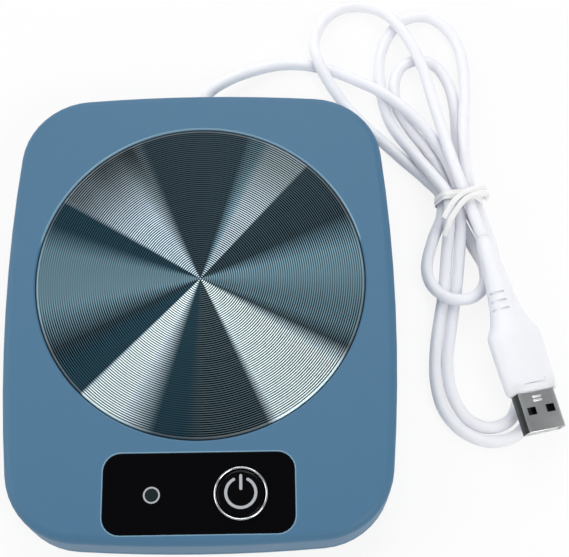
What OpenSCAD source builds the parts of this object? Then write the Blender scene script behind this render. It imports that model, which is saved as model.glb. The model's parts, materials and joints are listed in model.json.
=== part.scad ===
// Mug warmer for a desk: a low moulded housing with a round heating plate, a glossy
// control panel with one push button, and a USB cable that is folded and tied.
// All sizes are in millimetres. The origin is under the centre of the housing, on the
// surface it stands on. +X points right, +Y to the back, where the cable leaves, +Z up.

/* [Housing] */
// Width of the housing
housing_w = 112.5; // [108:0.5:124]
// Depth of the housing, front to back
housing_l = 136.5; // [134:0.5:150]
// Height of the top face above the table
housing_h = 19; // [18.5:0.5:26]
// Radius of the slight bow along each side
side_bow_r = 480; // [300:10:900]
// Radius of the corners, seen from above
corner_r = 21; // [14:0.5:26]
// Rounding along the top edge
top_edge_r = 2.6; // [1:0.1:3]
// Rounding along the bottom edge
base_edge_r = 1.8; // [0.6:0.1:2]
// Thickness of the side wall
wall = 2.2; // [1.8:0.1:3]
// Thickness of the top
top_t = 2.2; // [2:0.1:3]
// Thickness of the floor
floor_t = 2; // [1.6:0.1:2.4]
// Height of the base cover's rim
base_rim_h = 4; // [3.5:0.1:5]
// Height of the tongue that centres the base cover
tongue_h = 1.5; // [1:0.1:2.5]
// Thickness of that tongue
tongue_t = 1; // [0.8:0.1:1.2]
// Bevel that shows the line between the two shells
seam_bevel = 0.3; // [0.1:0.05:0.5]

/* [Heating plate] */
// Plastic left at each side of the plate
plate_side = 8.75; // [8.25:0.25:12]
// Plastic left behind the plate
plate_back = 12.25; // [12:0.05:16]
// Distance from the panel to the plate
plate_behind = 3.85; // [2.5:0.05:6]
// Thickness of the heating plate
plate_t = 2; // [1.5:0.1:2.5]
// How far the plate lies below the top face
plate_recess = 0.4; // [0:0.1:0.8]
// Gap round the plate
plate_gap = 0.3; // [0.3:0.05:0.8]
// Bevel round the plate's top edge
plate_bevel = 0.6; // [0.4:0.1:1.2]
// Rounding of the housing's rim round the plate
rim_r = 0.7; // [0.4:0.1:1.2]
// Width of the ledge that carries the plate
ledge_w = 3.5; // [2.5:0.1:4.5]
// Thickness of that ledge
ledge_t = 2; // [1.5:0.1:2.5]
// Thickness of the silicone seal under the plate
seal_t = 0.6; // [0.4:0.1:1]

/* [Heater stack] */
// How far the film heater stays inside the plate's edge
film_in = 7.5; // [6.8:0.1:11]
// Thickness of the film
film_t = 0.25; // [0.2:0.05:0.4]
// Thickness of the etched foil track
track_t = 0.1; // [0.05:0.05:0.2]
// Width of the foil track
track_w = 1.8; // [1.2:0.1:2.2]
// Radius of the inmost ring of the track
track_inner_r = 7.4; // [6:0.1:10]
// Number of rings in the track
track_rings = 10; // [6:1:10]
// Thickness of the insulation pad
pad_t = 3; // [2.5:0.1:3.5]
// Thickness of the steel clamp plate
clamp_t = 1; // [0.8:0.1:1.2]
// Depth of the clamp plate's turned-down rim
clamp_rim_h = 1.5; // [1:0.1:2]
// Diameter of the holes that lighten the clamp plate
clamp_hole_d = 13; // [8:0.5:15]

/* [Control panel] */
// Width of the glossy panel
panel_w = 52.5; // [50:0.1:56]
// Depth of the panel, front to back
panel_l = 22.3; // [20:0.1:24]
// Corner radius of the panel
panel_r = 4.8; // [3:0.1:7]
// Thickness of the panel
panel_t = 1; // [0.8:0.1:1.2]
// Thickness of the adhesive under it
adhesive_t = 0.2; // [0.1:0.05:0.3]
// How far the panel lies below the top face
panel_recess = 0.1; // [0:0.05:0.3]
// Gap round the panel
panel_gap = 0.15; // [0.1:0.05:0.3]
// Distance from the housing's front edge to the panel
panel_in = 3.1; // [2.4:0.1:3.4]

/* [Button and lamp] */
// How far the button and the lamp lie in front of the panel's middle
control_front = 0.4; // [0:0.1:1]
// Distance of the button to the right of the centre
button_x = 11.5; // [8:0.1:14]
// Diameter of the black button cap
button_d = 13; // [11:0.1:13.4]
// Diameter of the chrome ring round it
bezel_d = 14.8; // [14.8:0.1:16]
// Height of the ring above the panel
bezel_h = 1.3; // [0.8:0.1:2]
// Gap between the cap and the ring
button_gap = 0.25; // [0.2:0.05:0.35]
// How far the cap lies below the ring's top
button_sink = 0.3; // [0:0.1:0.6]
// How far the button travels
button_travel = 0.4; // [0.2:0.05:0.6]
// Distance of the lamp to the left of the centre
lamp_x = 12.9; // [11:0.1:16]
// Diameter of the lamp's window
lamp_d = 3.5; // [2.4:0.1:4]

/* [Circuit board] */
// Width of the circuit board
board_w = 62; // [60:0.5:66]
// Depth of the circuit board
board_l = 26; // [24:0.5:27]
// Thickness of the circuit board
board_t = 1.6; // [1:0.1:1.6]
// Distance from the ceiling down to the board
board_drop = 8.3; // [8:0.1:8.5]
// How far the board's centre lies behind the panel's centre
board_behind = 3.2; // [2.8:0.1:3.6]
// Width of a wire connector
socket_w = 6; // [5:0.1:6.5]
// Height of a wire connector
socket_h = 4.2; // [3.8:0.1:4.6]
// Width of the push switch
switch_w = 12; // [9:0.5:12]
// Height of the push switch
switch_h = 3.5; // [3:0.1:3.8]
// Diameter of the switch's plunger
plunger_d = 3.5; // [3:0.1:4]

/* [Screws and feet] */
// Thread diameter of the screws that close the housing
housing_screw_d = 2.6; // [2.2:0.1:3]
// Length of those screws under the head
housing_screw_l = 9; // [7:0.5:10]
// How far the housing screws lie inside the housing's edges
housing_screw_in = 14.25; // [13.75:0.25:15]
// Thread diameter of the small inner screws
small_screw_d = 2.2; // [1.8:0.1:2.4]
// Diameter of a rubber foot
foot_d = 12; // [8:0.5:14]
// Height of the feet below the base
foot_h = 1.5; // [1:0.1:2]
// Depth of the pockets that hold the feet
foot_pocket = 1; // [0.6:0.1:1.2]
// How far the feet lie inside the housing's sides
foot_in_x = 14.25; // [14.25:0.25:20]
// How far the feet lie inside the housing's front and back
foot_in_y = 29.25; // [27:0.25:36]

/* [Cable and plug] */
// Diameter of the cable
cable_d = 3.6; // [3.4:0.1:3.7]
// Height of the cable's exit above the floor's inside
exit_rise = 4; // [3.8:0.1:4.5]
// How far the grommet stands out of the back
grommet_out = 2; // [1:0.1:3]
// Width of the plug's moulded body
plug_w = 17; // [15:0.1:17.5]
// Thickness of the plug's moulded body
plug_h = 8; // [7:0.1:9]
// Thickness of the sheet in the plug's metal shell
shell_sheet = 0.3; // [0.25:0.05:0.4]

/* [Hidden] */
$fn = 64;

housing_blue = "#547c9c";
cable_white = "#eeeef4";
gloss_black = "#101114";
steel = "#b8bcc0";
copper = "#b87333";

// Named clearances
fit = 0.1;          // pieces that locate each other
thread_fit = 0.05;  // screw core in its pilot hole
screw_pass = 0.4;   // screw through a free hole
corner_n = 10;      // steps round a corner of the outline
bow_n = 4;          // steps along half a side
edge_n = 5;         // steps round an edge

// Levels, from the table up
base_z = foot_h;
floor_z = base_z + floor_t;
seam_z = base_z + base_rim_h;
top_z = housing_h;
ceiling_z = top_z - top_t;
plate_top_z = top_z - plate_recess;
plate_bottom_z = plate_top_z - plate_t;
ledge_z = plate_bottom_z - seal_t;
film_z = plate_bottom_z - film_t;
track_z = film_z - track_t;
pad_z = track_z - pad_t;
clamp_z = pad_z - clamp_t;
panel_top_z = top_z - panel_recess;
panel_z = panel_top_z - panel_t;
adhesive_z = panel_z - adhesive_t;
panel_seat_t = 1;                                // plastic left under the panel
panel_seat_z = min(ceiling_z, adhesive_z - panel_seat_t);
board_top_z = ceiling_z - board_drop;
board_z = board_top_z - board_t;

// Heating plate, as large as the housing leaves room for, its ledge and the clamp
plate_d = min(housing_w - 2 * plate_side, housing_l - panel_in - panel_l - plate_behind - plate_back);
plate_r = plate_d / 2;
plate_y = panel_in + panel_l + plate_behind + plate_r - housing_l / 2;
well_r = plate_r + plate_gap;
ledge_r = plate_r - ledge_w;
well_wall = 2;
film_r = plate_r - film_in;
tab_w = 14;
tab_r = film_r + 2.2;
pad_r = film_r + 1;
clamp_r = film_r;
clamp_centre_hole_r = 4;
clamp_holes = 6;
clamp_holes_r = clamp_r * 0.6;
clamp_under_z = clamp_z - clamp_rim_h;
ear_r = 5;
ear_at = well_r + 4.6;
ear_turn = 45;
fuse_back = 20;     // from the plate's centre towards the front
fuse_l = 8;
fuse_d = 2.2;
bead_d = 2.5;

// Small screws
small_core_r = small_screw_d / 2;
small_pilot_r = small_core_r + thread_fit;
small_pass_r = small_core_r + screw_pass;
small_head_r = small_screw_d * 1.1;
small_head_h = small_screw_d * 0.7;
small_boss_r = small_pilot_r + 1.9;
clamp_screw_l = 4.5;
board_screw_l = 6;

// Housing screws and feet
housing_screw_x = housing_w - 2 * housing_screw_in;
housing_screw_y = housing_l - 2 * housing_screw_in;
foot_x = housing_w - 2 * foot_in_x;
foot_y = housing_l - 2 * foot_in_y;
core_r = housing_screw_d / 2;
pilot_r = core_r + thread_fit;
head_r = housing_screw_d * 1.1;
head_h = housing_screw_d * 0.6;
corner_boss_r = pilot_r + 2.2;
base_boss_h = 2.5;  // of the base cover's screw tubes above its floor
joint_z = floor_z + base_boss_h;
head_seat = 2;      // plastic left under a screw's head
head_z = joint_z - head_seat;

// Panel and board, set from the housing's front
panel_y = housing_l / 2 - panel_in - panel_l / 2;
control_y = panel_y + control_front;
board_y = panel_y - board_behind;
board_r = 2;
board_screw_x = board_w - 8;
board_screw_y = board_l - 8;
plunger_up = 1;     // plunger above the switch
plunger_top_z = board_top_z + switch_h + plunger_up;

// Button
button_r = button_d / 2;
bezel_in_r = button_r + button_gap;
bezel_r = bezel_d / 2;
spigot_r = bezel_in_r + 0.4;
panel_hole_r = spigot_r + fit;
button_hole_r = panel_hole_r + fit;
bezel_top_z = panel_top_z + bezel_h;
cap_top_z = bezel_top_z - button_sink;
flange_r = button_hole_r + 0.9;
flange_t = 1;
flange_gap = 0.2;
flange_z = panel_seat_z - flange_gap - flange_t;
cap_wall = 1.2;
cap_top_t = 1.4;
stem_r = 2;

// Lamp
lamp_r = lamp_d / 2;
lamp_flange_r = lamp_r + 1;
lamp_flange_t = 1;
led_r = 1.5;
led_h = 5.3;

// Cable, exit and grommet
cable_r = cable_d / 2;
exit_z = floor_z + exit_rise;
cable_hole_r = cable_r + fit;
neck_r = cable_r + 1.4;
grommet_flange_r = cable_r + 2.4;
grommet_flange_t = 1.2;
back_y = housing_l / 2;
inner_end_y = back_y - 16.25;
saddle_y = back_y - 11.25;
saddle_w = 16;
saddle_l = 5;
saddle_t = 1.6;
saddle_screw_x = 10.4;

// Plug, laid on the folded cable and turned about its own axis
route_y = back_y - 67.45;  // the folded cable follows the housing's back
plug_at = [83.2, 24.6 + route_y, 9.8];
plug_yaw = 13.4;
plug_pitch = 1.2;
plug_roll = 13.5;
boot_l = 29;
boot_w = 11.4;
shoulder_l = 4.5;
body_l = 17.8;
plug_l = boot_l + shoulder_l + body_l;
shell_w = 12;
shell_h = 4.5;
shell_out = 11.5;
shell_in = 7;
shell_r = 0.7;
tongue_plug_h = 1.85;
contact_n = 4;

// Tie round the folded cable, and the strands it bears on, [X, Z], seen from the front
tie_y = 36.5 + route_y;
tie_w = 2.6;
tie_t = 0.45;
tie_gap = 0.5;
tie_strands = [[76.5, 2.7], [80.7, 2.7], [82.8, 5.8], [79.7, 9.7], [74.4, 8.7], [73, 5]];

// The cable's centre line behind and beside the housing, up to the plug
loose_route = [
  [1, 73.4, 7.1], [5.4, 78, 5.7], [14, 83.4, 3.2],
  [25.6, 86.7, 1.9], [37.5, 85.2, 1.8], [48, 79.8, 3.5], [57.3, 73.2, 5.6], [66.1, 65.1, 5.4],
  [72.7, 55.6, 4.4], [76.9, 44.6, 5.6], [78, 32.1, 6.3], [77.4, 20.3, 4.1], [75.9, 8.5, 1.9],
  [73.7, -3.3, 1.8], [72, -15.1, 1.8], [73.2, -24.2, 1.8], [77.4, -31.2, 1.8], [83.3, -33.6, 1.8],
  [89.3, -31.3, 1.8], [92.2, -24.6, 1.8], [91.4, -14.8, 1.8], [89.2, -3, 2.1], [88.3, 8.8, 4.3],
  [87.1, 20.7, 5.6], [84, 32.3, 5.8], [81.1, 43.9, 5.8], [80.8, 60, 5.4], [82.6, 77.5, 3],
  [81.7, 91.6, 1.8], [77.8, 99.3, 1.8], [71.8, 103.6, 1.8], [64.6, 102.5, 1.8], [59.4, 97.2, 1.8],
  [56, 88.1, 1.8], [56, 76.5, 1.8], [58.7, 64.9, 2.1], [64.4, 54.4, 4.1], [70.5, 44.5, 7],
  [74.3, 37.2, 8.7], [74.5, 29.5, 7.4], [73.6, 20.4, 3.3], [72.2, 8.6, 1.8], [68.9, -9, 1.8],
  [68.4, -20, 1.8], [70.4, -28.4, 1.8], [75.4, -34.6, 1.8], [82.6, -37.7, 1.8], [90.2, -36.3, 1.8],
  [95.4, -30.2, 1.8], [96.6, -20.6, 1.8], [94.9, -8.4, 1.8], [91, 10, 1.8], [84.7, 26.8, 1.9],
  [80.4, 37.7, 2.7], [79.2, 52, 1.8], [78.9, 72, 1.8], [76.9, 80.6, 1.8], [73, 86, 1.8],
  [67.6, 87.5, 1.8], [62.5, 84.8, 1.8], [60.3, 78.6, 1.8], [60.8, 71.4, 1.8], [64.2, 63.8, 1.8],
  [69.6, 55.4, 1.8], [74.2, 45.6, 2.2], [77.2, 33.9, 2.7], [81.8, 23.3, 1.8], [84.9, 16, 1.9],
  [84, 9.4, 3], [79.9, 5.3, 5], [73.7, 5, 5.5], [68.7, 9.3, 4.5], [67.5, 16.4, 2.1], [69.8, 25.2, 2.8],
  [72.7, 32.2, 4.8], [72.7, 38.8, 4.8], [69, 44.7, 2.9], [60, 54.4, 1.8], [46.4, 69, 2.1],
  [39.2, 79.2, 4.3], [35.9, 86.6, 5.4], [35.1, 94, 3.2], [38.1, 102.2, 1.9], [44.3, 107.1, 1.8],
  [52.3, 107.2, 2.4], [58.8, 102.6, 4.9], [64.5, 94.3, 5.7], [69, 83.6, 5.4], [71.8, 72, 5.2],
  [74, 60.3, 6.9], [76.3, 48.7, 9.1], [79.5, 37.1, 9.7], [83.2, 24.6, 9.8]
];
cable_route = concat(
  [[0, inner_end_y, exit_z], [0, back_y - 6.25, exit_z], [0, back_y + 1.75, exit_z]],
  [for (p = loose_route) p + [0, route_y, 0]]
);

// ---------------------------------------------------------------- outlines

function reversed(list) = [for (i = [len(list) - 1:-1:0]) list[i]];
function drop_first(list) = [for (i = [1:len(list) - 1]) list[i]];
function drop_last(list) = [for (i = [0:len(list) - 2]) list[i]];
function arc(c, r, from, to, n) =
  [for (i = [0:n - 1]) c + r * [cos(from + (to - from) * i / n), sin(from + (to - from) * i / n)]];

// Centres of the bows of the right side and of the back
side_centre = [housing_w / 2 - side_bow_r, 0];
back_centre = [0, housing_l / 2 - side_bow_r];

// Centre of the back right corner: its arc touches both bows
function corner_centre() = let(
    across = back_centre - side_centre,
    n = norm(across),
    reach = side_bow_r - corner_r,
    rise = sqrt(reach * reach - n * n / 4)
  ) (side_centre + back_centre) / 2 + rise * [-across.y, across.x] / n;

// A quarter of the housing's outline, drawn inwards by inset
function outline_quarter(inset) = let(
    c = corner_centre(),
    turn1 = atan2(c.y - side_centre.y, c.x - side_centre.x),
    turn2 = atan2(c.y - back_centre.y, c.x - back_centre.x)
  ) concat(
    arc(side_centre, side_bow_r - inset, 0, turn1, bow_n),
    arc(c, corner_r - inset, turn1, turn2, corner_n),
    arc(back_centre, side_bow_r - inset, turn2, 90, bow_n),
    [[0, housing_l / 2 - inset]]
  );

// The whole outline, anticlockwise from the middle of the right side
function housing_outline(inset) = let(q = outline_quarter(inset)) concat(
    q,
    drop_first([for (p = reversed(q)) [-p.x, p.y]]),
    drop_first([for (p = q) [-p.x, -p.y]]),
    drop_last(drop_first([for (p = reversed(q)) [p.x, -p.y]]))
  );

// A rounded rectangle with n steps round each corner
function round_rect(w, l, r, n = 6) = let(x = w / 2 - r, y = l / 2 - r) concat(
    arc([x, y], r, 0, 90, n), [[x, y + r]],
    arc([-x, y], r, 90, 180, n), [[-x - r, y]],
    arc([-x, -y], r, 180, 270, n), [[-x, -y - r]],
    arc([x, -y], r, 270, 360, n), [[x + r, -y]]
  );

// A closed skin over outlines of equal length, one at each height
module loft(outlines, heights) {
  n = len(outlines[0]);
  top = len(outlines) - 1;
  points = [for (k = [0:top]) for (p = outlines[k]) [p.x, p.y, heights[k]]];
  sides = [for (k = [0:top - 1]) for (i = [0:n - 1])
    [k * n + i, (k + 1) * n + i, (k + 1) * n + (i + 1) % n, k * n + (i + 1) % n]];
  bottom_face = [for (i = [0:n - 1]) i];
  top_face = [for (i = [n - 1:-1:0]) top * n + i];
  polyhedron(points, concat([bottom_face], sides, [top_face]));
}

// A round wire through the points, with the given number of sides
module wire(path, d, sides = 8) {
  last = len(path) - 1;
  function unit(v) = v / norm(v);
  function heading(k) = unit(path[min(k + 1, last)] - path[max(k - 1, 0)]);
  function turned(side, to) = unit(side - (side * to) * to);
  first = turned(abs(heading(0).z) < 0.9 ? [0, 0, 1] : [1, 0, 0], heading(0));
  rings = [for (k = 0, side = first; k <= last;
    k = k + 1, side = k <= last ? turned(side, heading(k)) : side)
      for (i = [0:sides - 1]) let(a = 360 * i / sides)
        path[k] + d / 2 * (cos(a) * side + sin(a) * cross(heading(k), side))];
  skin = [for (k = [0:last - 1]) for (i = [0:sides - 1])
    [k * sides + i, (k + 1) * sides + i, (k + 1) * sides + (i + 1) % sides, k * sides + (i + 1) % sides]];
  start_face = [for (i = [0:sides - 1]) i];
  end_face = [for (i = [sides - 1:-1:0]) last * sides + i];
  polyhedron(rings, concat([start_face], skin, [end_face]));
}

// Copies at the four corners of a rectangle
module four_corners(x, y) {
  for (sx = [-1, 1]) for (sy = [-1, 1]) translate([sx * x / 2, sy * y / 2, 0]) children();
}

module at_plate() {
  translate([0, plate_y, 0]) children();
}

// The four ears of the heater clamp and their screws
module at_ears() {
  at_plate() for (k = [0:3]) rotate(ear_turn + 90 * k) translate([ear_at, 0, 0]) children();
}

module at_panel() {
  translate([0, -panel_y, 0]) children();
}

module at_board() {
  translate([0, -board_y, 0]) children();
}

module cylinder_between(z0, z1, r) {
  translate([0, 0, z0]) cylinder(h = z1 - z0, r = r);
}

module box_on(x, y, z, size) {
  translate([x - size.x / 2, y - size.y / 2, z]) cube(size);
}

// ---------------------------------------------------------------- housing

// Steps of a quarter round edge: [inset, height] from the wall to the flat
function edge_steps(r) = [for (i = [0:edge_n]) let(a = 90 * i / edge_n) [r * (1 - cos(a)), r * sin(a)]];

module upper_skin() {
  round_over = edge_steps(top_edge_r);
  insets = concat([seam_bevel, 0], [for (s = round_over) s[0]]);
  heights = concat([seam_z, seam_z + seam_bevel], [for (s = round_over) top_z - top_edge_r + s[1]]);
  loft([for (i = insets) housing_outline(i)], heights);
}

module lower_skin() {
  round_under = reversed(edge_steps(base_edge_r));
  insets = concat([for (s = round_under) s[0]], [0, seam_bevel]);
  heights = concat([for (s = round_under) base_z + base_edge_r - s[1]], [seam_z - seam_bevel, seam_z]);
  loft([for (i = insets) housing_outline(i)], heights);
}

module shell_space(z0, z1, inset) {
  translate([0, 0, z0]) linear_extrude(z1 - z0) polygon(housing_outline(inset));
}

// The plate's well: its wall, floor opening and rounded rim
module plate_well_cut() {
  rim = [for (i = [0:edge_n]) let(a = 90 * i / edge_n)
    [well_r + rim_r - rim_r * cos(a), top_z - rim_r + rim_r * sin(a)]];
  rotate_extrude($fn = 128)
    polygon(concat([[0, ledge_z], [well_r, ledge_z]], rim, [[well_r + rim_r, top_z + 1], [0, top_z + 1]]));
}

module panel_plate(z0, z1, grow) {
  translate([0, 0, z0]) linear_extrude(z1 - z0)
    polygon(round_rect(panel_w + 2 * grow, panel_l + 2 * grow, panel_r + grow));
}

module upper_housing() color(housing_blue) difference() {
  union() {
    difference() {
      upper_skin();
      shell_space(seam_z - 1, ceiling_z, wall);
      shell_space(seam_z - 1, seam_z + tongue_h + fit, wall - tongue_t - fit);
    }
    // Well round the plate, with its ledge
    at_plate() cylinder_between(ledge_z - ledge_t, ceiling_z + fit, well_r + well_wall);
    // Seat under the panel
    at_panel() panel_plate(panel_seat_z, ceiling_z + fit, 1.5);
    // Bosses for the clamp, the board and the base cover
    at_ears() cylinder_between(pad_z, ceiling_z + fit, small_boss_r);
    at_board() four_corners(board_screw_x, board_screw_y)
      cylinder_between(board_top_z, ceiling_z + fit, small_boss_r);
    four_corners(housing_screw_x, housing_screw_y)
      cylinder_between(joint_z, ceiling_z + fit, corner_boss_r);
  }
  at_plate() {
    plate_well_cut();
    cylinder_between(ledge_z - ledge_t - 1, ledge_z + 1, ledge_r);
  }
  at_panel() panel_plate(adhesive_z, top_z + 1, panel_gap);
  translate([button_x, -control_y, 0]) cylinder_between(panel_seat_z - 1, top_z, button_hole_r);
  translate([-lamp_x, -control_y, 0]) cylinder_between(panel_seat_z - 1, top_z, lamp_r + fit);
  at_ears() cylinder_between(pad_z - 1, ceiling_z, small_pilot_r);
  at_board() four_corners(board_screw_x, board_screw_y)
    cylinder_between(board_top_z - 1, ceiling_z - 1, small_pilot_r);
  four_corners(housing_screw_x, housing_screw_y)
    cylinder_between(joint_z - 1, joint_z + housing_screw_l, pilot_r);
  grommet_cut();
}

// Room for the grommet's neck and its inner flange
module grommet_cut() {
  translate([0, back_y - wall, exit_z]) rotate([-90, 0, 0]) {
    translate([0, 0, -wall]) cylinder(h = 4 * wall, r = neck_r);
    translate([0, 0, -grommet_flange_t - 2 * fit]) cylinder(h = grommet_flange_t + 2 * fit, r = grommet_flange_r + fit);
  }
}

module base_ribs() {
  rib_t = 1.2;
  rib_h = 1.2;
  intersection() {
    union() {
      for (x = [-2:2]) box_on(x * 18, 0, floor_z - fit, [rib_t, housing_l, rib_h + fit]);
      for (y = [-2:2]) box_on(0, y * 22, floor_z - fit, [housing_w, rib_t, rib_h + fit]);
    }
    shell_space(floor_z - fit, seam_z, wall);
  }
}

module lower_housing() color(housing_blue) difference() {
  union() {
    difference() {
      lower_skin();
      shell_space(floor_z, seam_z + 1, wall);
    }
    // Tongue inside the upper shell
    difference() {
      shell_space(floor_z - fit, seam_z + tongue_h, wall - tongue_t);
      shell_space(floor_z - 1, seam_z + tongue_h + 1, wall);
    }
    base_ribs();
    four_corners(housing_screw_x, housing_screw_y) cylinder_between(floor_z - fit, joint_z, corner_boss_r + 1);
    // Pedestal and bosses for the cable saddle
    box_on(0, saddle_y, floor_z - fit, [saddle_w, saddle_l, exit_rise + fit]);
  }
  four_corners(housing_screw_x, housing_screw_y) {
    cylinder_between(base_z - 1, head_z, head_r + screw_pass);
    cylinder_between(base_z, joint_z + 1, core_r + screw_pass);
  }
  four_corners(foot_x, foot_y) cylinder_between(base_z - 1, base_z + foot_pocket, foot_d / 2 + fit);
  translate([0, saddle_y - saddle_l, exit_z]) rotate([-90, 0, 0]) cylinder(h = 2 * saddle_l, r = cable_hole_r);
  for (s = [-1, 1]) translate([s * saddle_screw_x / 2, saddle_y, 0])
    cylinder_between(floor_z, exit_z + 1, small_pilot_r);
  grommet_cut();
}

// ---------------------------------------------------------------- heater

module heating_plate() color("#3d525c") at_plate() rotate_extrude($fn = 128) polygon([
  [0, plate_bottom_z], [plate_r - 0.3, plate_bottom_z], [plate_r, plate_bottom_z + 0.3],
  [plate_r, plate_top_z - plate_bevel * 0.6], [plate_r - plate_bevel * 0.35, plate_top_z - plate_bevel * 0.2],
  [plate_r - plate_bevel, plate_top_z], [0, plate_top_z]
]);

module plate_seal() color("#2b2d30") at_plate() rotate_extrude($fn = 128) {
  lip_t = plate_gap - fit;
  polygon([
    [ledge_r, ledge_z], [well_r, ledge_z], [well_r, ledge_z + seal_t + plate_t / 2],
    [well_r - lip_t, ledge_z + seal_t + plate_t / 2], [well_r - lip_t, ledge_z + seal_t],
    [ledge_r, ledge_z + seal_t]
  ]);
}

module heating_film() color("#c9822f") at_plate() {
  cylinder_between(film_z, plate_bottom_z, film_r);
  box_on(0, -tab_r / 2, film_z, [tab_w, tab_r, film_t]);
}

// A foil track that runs to and fro in rings, from the middle out to the tab
module heating_track() {
  gap = 3.4;                                    // from the front line to each ring's end
  first_r = track_inner_r;
  last_r = film_r - 2;
  track_pitch = (last_r - first_r) / (track_rings - 1);
  function ring_r(i) = first_r + i * track_pitch;
  color(copper) at_plate() translate([0, 0, track_z]) {
    for (i = [0:track_rings - 1]) let(r = ring_r(i), cut = asin(gap / r), start = i == 0 ? 0 : cut)
      rotate(-90 + start) rotate_extrude(angle = 360 - start - cut)
        translate([r - track_w / 2, 0]) square([track_w, track_t]);
    // Links between neighbouring rings, on alternate sides of the front line
    for (i = [0:track_rings - 2]) let(side = i % 2 == 0 ? -1 : 1)
      box_on(side * (gap - track_w / 2 + 0.6), -ring_r(i + 0.5), 0, [track_w, track_pitch + 0.8, track_t]);
    // Leads to the two pads on the tab
    box_on(0, -(first_r + tab_r - 1) / 2, 0, [track_w, tab_r - 1 - first_r, track_t]);
    box_on(track_rings % 2 == 0 ? 3.8 : -3.8, -(last_r + tab_r - 1) / 2, 0, [track_w, tab_r - last_r, track_t]);
  }
}

module insulation_pad() color("#e6e2d6") at_plate() difference() {
  cylinder_between(pad_z, track_z, pad_r);
  cylinder_between(pad_z - 1, track_z + 1, bead_d);
  box_on(0, -fuse_back, pad_z - 1, [fuse_l + 8, fuse_d + 0.8, pad_t + 2]);
  box_on(0, -pad_r, pad_z - 1, [tab_w, 5, pad_t + 2]);
}

module heater_clamp() color(steel) at_plate() difference() {
  union() {
    cylinder_between(clamp_z, pad_z, clamp_r);
    difference() {
      cylinder_between(clamp_z - clamp_rim_h, pad_z, clamp_r);
      cylinder_between(clamp_z - clamp_rim_h - 1, pad_z, clamp_r - clamp_t);
    }
    for (k = [0:3]) rotate(ear_turn + 90 * k) {
      translate([clamp_r - 2, -ear_r, clamp_z]) cube([ear_at - clamp_r + 2, 2 * ear_r, clamp_t]);
      translate([ear_at, 0, clamp_z]) cylinder(h = clamp_t, r = ear_r);
    }
  }
  cylinder_between(clamp_z - 1, pad_z + 1, clamp_centre_hole_r);
  for (k = [0:clamp_holes - 1]) rotate(30 + 360 * k / clamp_holes) translate([clamp_holes_r, 0, 0])
    cylinder_between(clamp_z - 1, pad_z + 1, clamp_hole_d / 2);
  for (k = [0:3]) rotate(ear_turn + 90 * k) translate([ear_at, 0, 0])
    cylinder_between(clamp_z - 1, pad_z + 1, small_pass_r);
  box_on(0, -clamp_r, clamp_z - clamp_rim_h - 1, [tab_w, 5, clamp_t + clamp_rim_h + 2]);
}

// A pan head screw that points up, its head's underside at height zero
module screw_up(head_radius, head_height, core, length) {
  slot_w = 0.6;
  difference() {
    translate([0, 0, -head_height]) cylinder(h = head_height, r1 = head_radius * 0.85, r2 = head_radius);
    for (a = [0, 90]) rotate(a)
      box_on(0, 0, -head_height - 0.1, [head_radius * 1.1, slot_w, head_height * 0.5 + 0.1]);
  }
  cylinder(h = length - core, r = core);
  translate([0, 0, length - core]) cylinder(h = core, r1 = core, r2 = core * 0.4);
}

module small_screw(length) {
  screw_up(small_head_r, small_head_h, small_core_r, length);
}

module clamp_screws() color(steel) at_ears() translate([0, 0, clamp_z]) small_screw(clamp_t + clamp_screw_l - 2);

module thermistor() color("#1c1c1e") at_plate() {
  bead_z = track_z - bead_d / 2;
  translate([0, 0, bead_z]) sphere(d = bead_d);
  for (s = [-1, 1]) translate([s * 0.6, 0, 0]) cylinder_between(clamp_z - 1, bead_z, 0.25);
}

module thermal_fuse() color("#d8d2c0") translate([0, plate_y - fuse_back, track_z - fuse_d / 2]) rotate([0, 90, 0]) {
  translate([0, 0, -fuse_l / 2]) cylinder(h = fuse_l, d = fuse_d);
  translate([0, 0, -fuse_l / 2 - 3]) cylinder(h = fuse_l + 6, d = 0.7);
}

// Line of the board's wire connectors, height of their wires, and height at which the
// leads pass under the clamp
socket_y = -board_y + board_l / 2 - 3;
socket_d = 4.4;
socket_mouth_y = socket_y + 2;
lead_z = board_top_z + socket_h / 2 + 0.1;
under_z = clamp_under_z - 1.5;
heater_socket_x = -8.5;
sensor_socket_x = heater_socket_x - socket_w - 1;
supply_socket_x = 8;

module heater_leads() color("#b3322c") for (s = [-1, 1]) wire([
  [s * 4, plate_y - tab_r + 1.4, film_z - track_t - 0.9],
  [s * 4, plate_y - tab_r + 0.6, pad_z], [s * 3.6, plate_y - tab_r - 0.4, clamp_z - 1],
  [s * 2 + heater_socket_x / 2, socket_mouth_y + 2.9 - s * 0.5, lead_z - s * 0.7],
  [s * 1.25 + heater_socket_x, socket_mouth_y + 1, lead_z], [s * 1.25 + heater_socket_x, socket_mouth_y, lead_z]
], 1.4);

module sensor_leads() color("#2a2a2c") for (s = [-1, 1]) wire([
  [s * 0.6, plate_y, clamp_z - 1], [s * 0.6, plate_y - 1.5, clamp_z - 3],
  [s * 0.7 + sensor_socket_x / 4, plate_y - film_r * 0.3, under_z],
  [s * 0.9 + sensor_socket_x * 0.9, plate_y - film_r * 0.75, under_z],
  [s + sensor_socket_x, plate_y - film_r - 0.5, under_z],
  [s + sensor_socket_x, socket_mouth_y + 1, lead_z], [s + sensor_socket_x, socket_mouth_y, lead_z]
], 0.9);

// ---------------------------------------------------------------- panel, button and lamp

module panel_hole(x, z0, z1, r) {
  translate([x, -control_y, 0]) cylinder_between(z0, z1, r);
}

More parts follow.
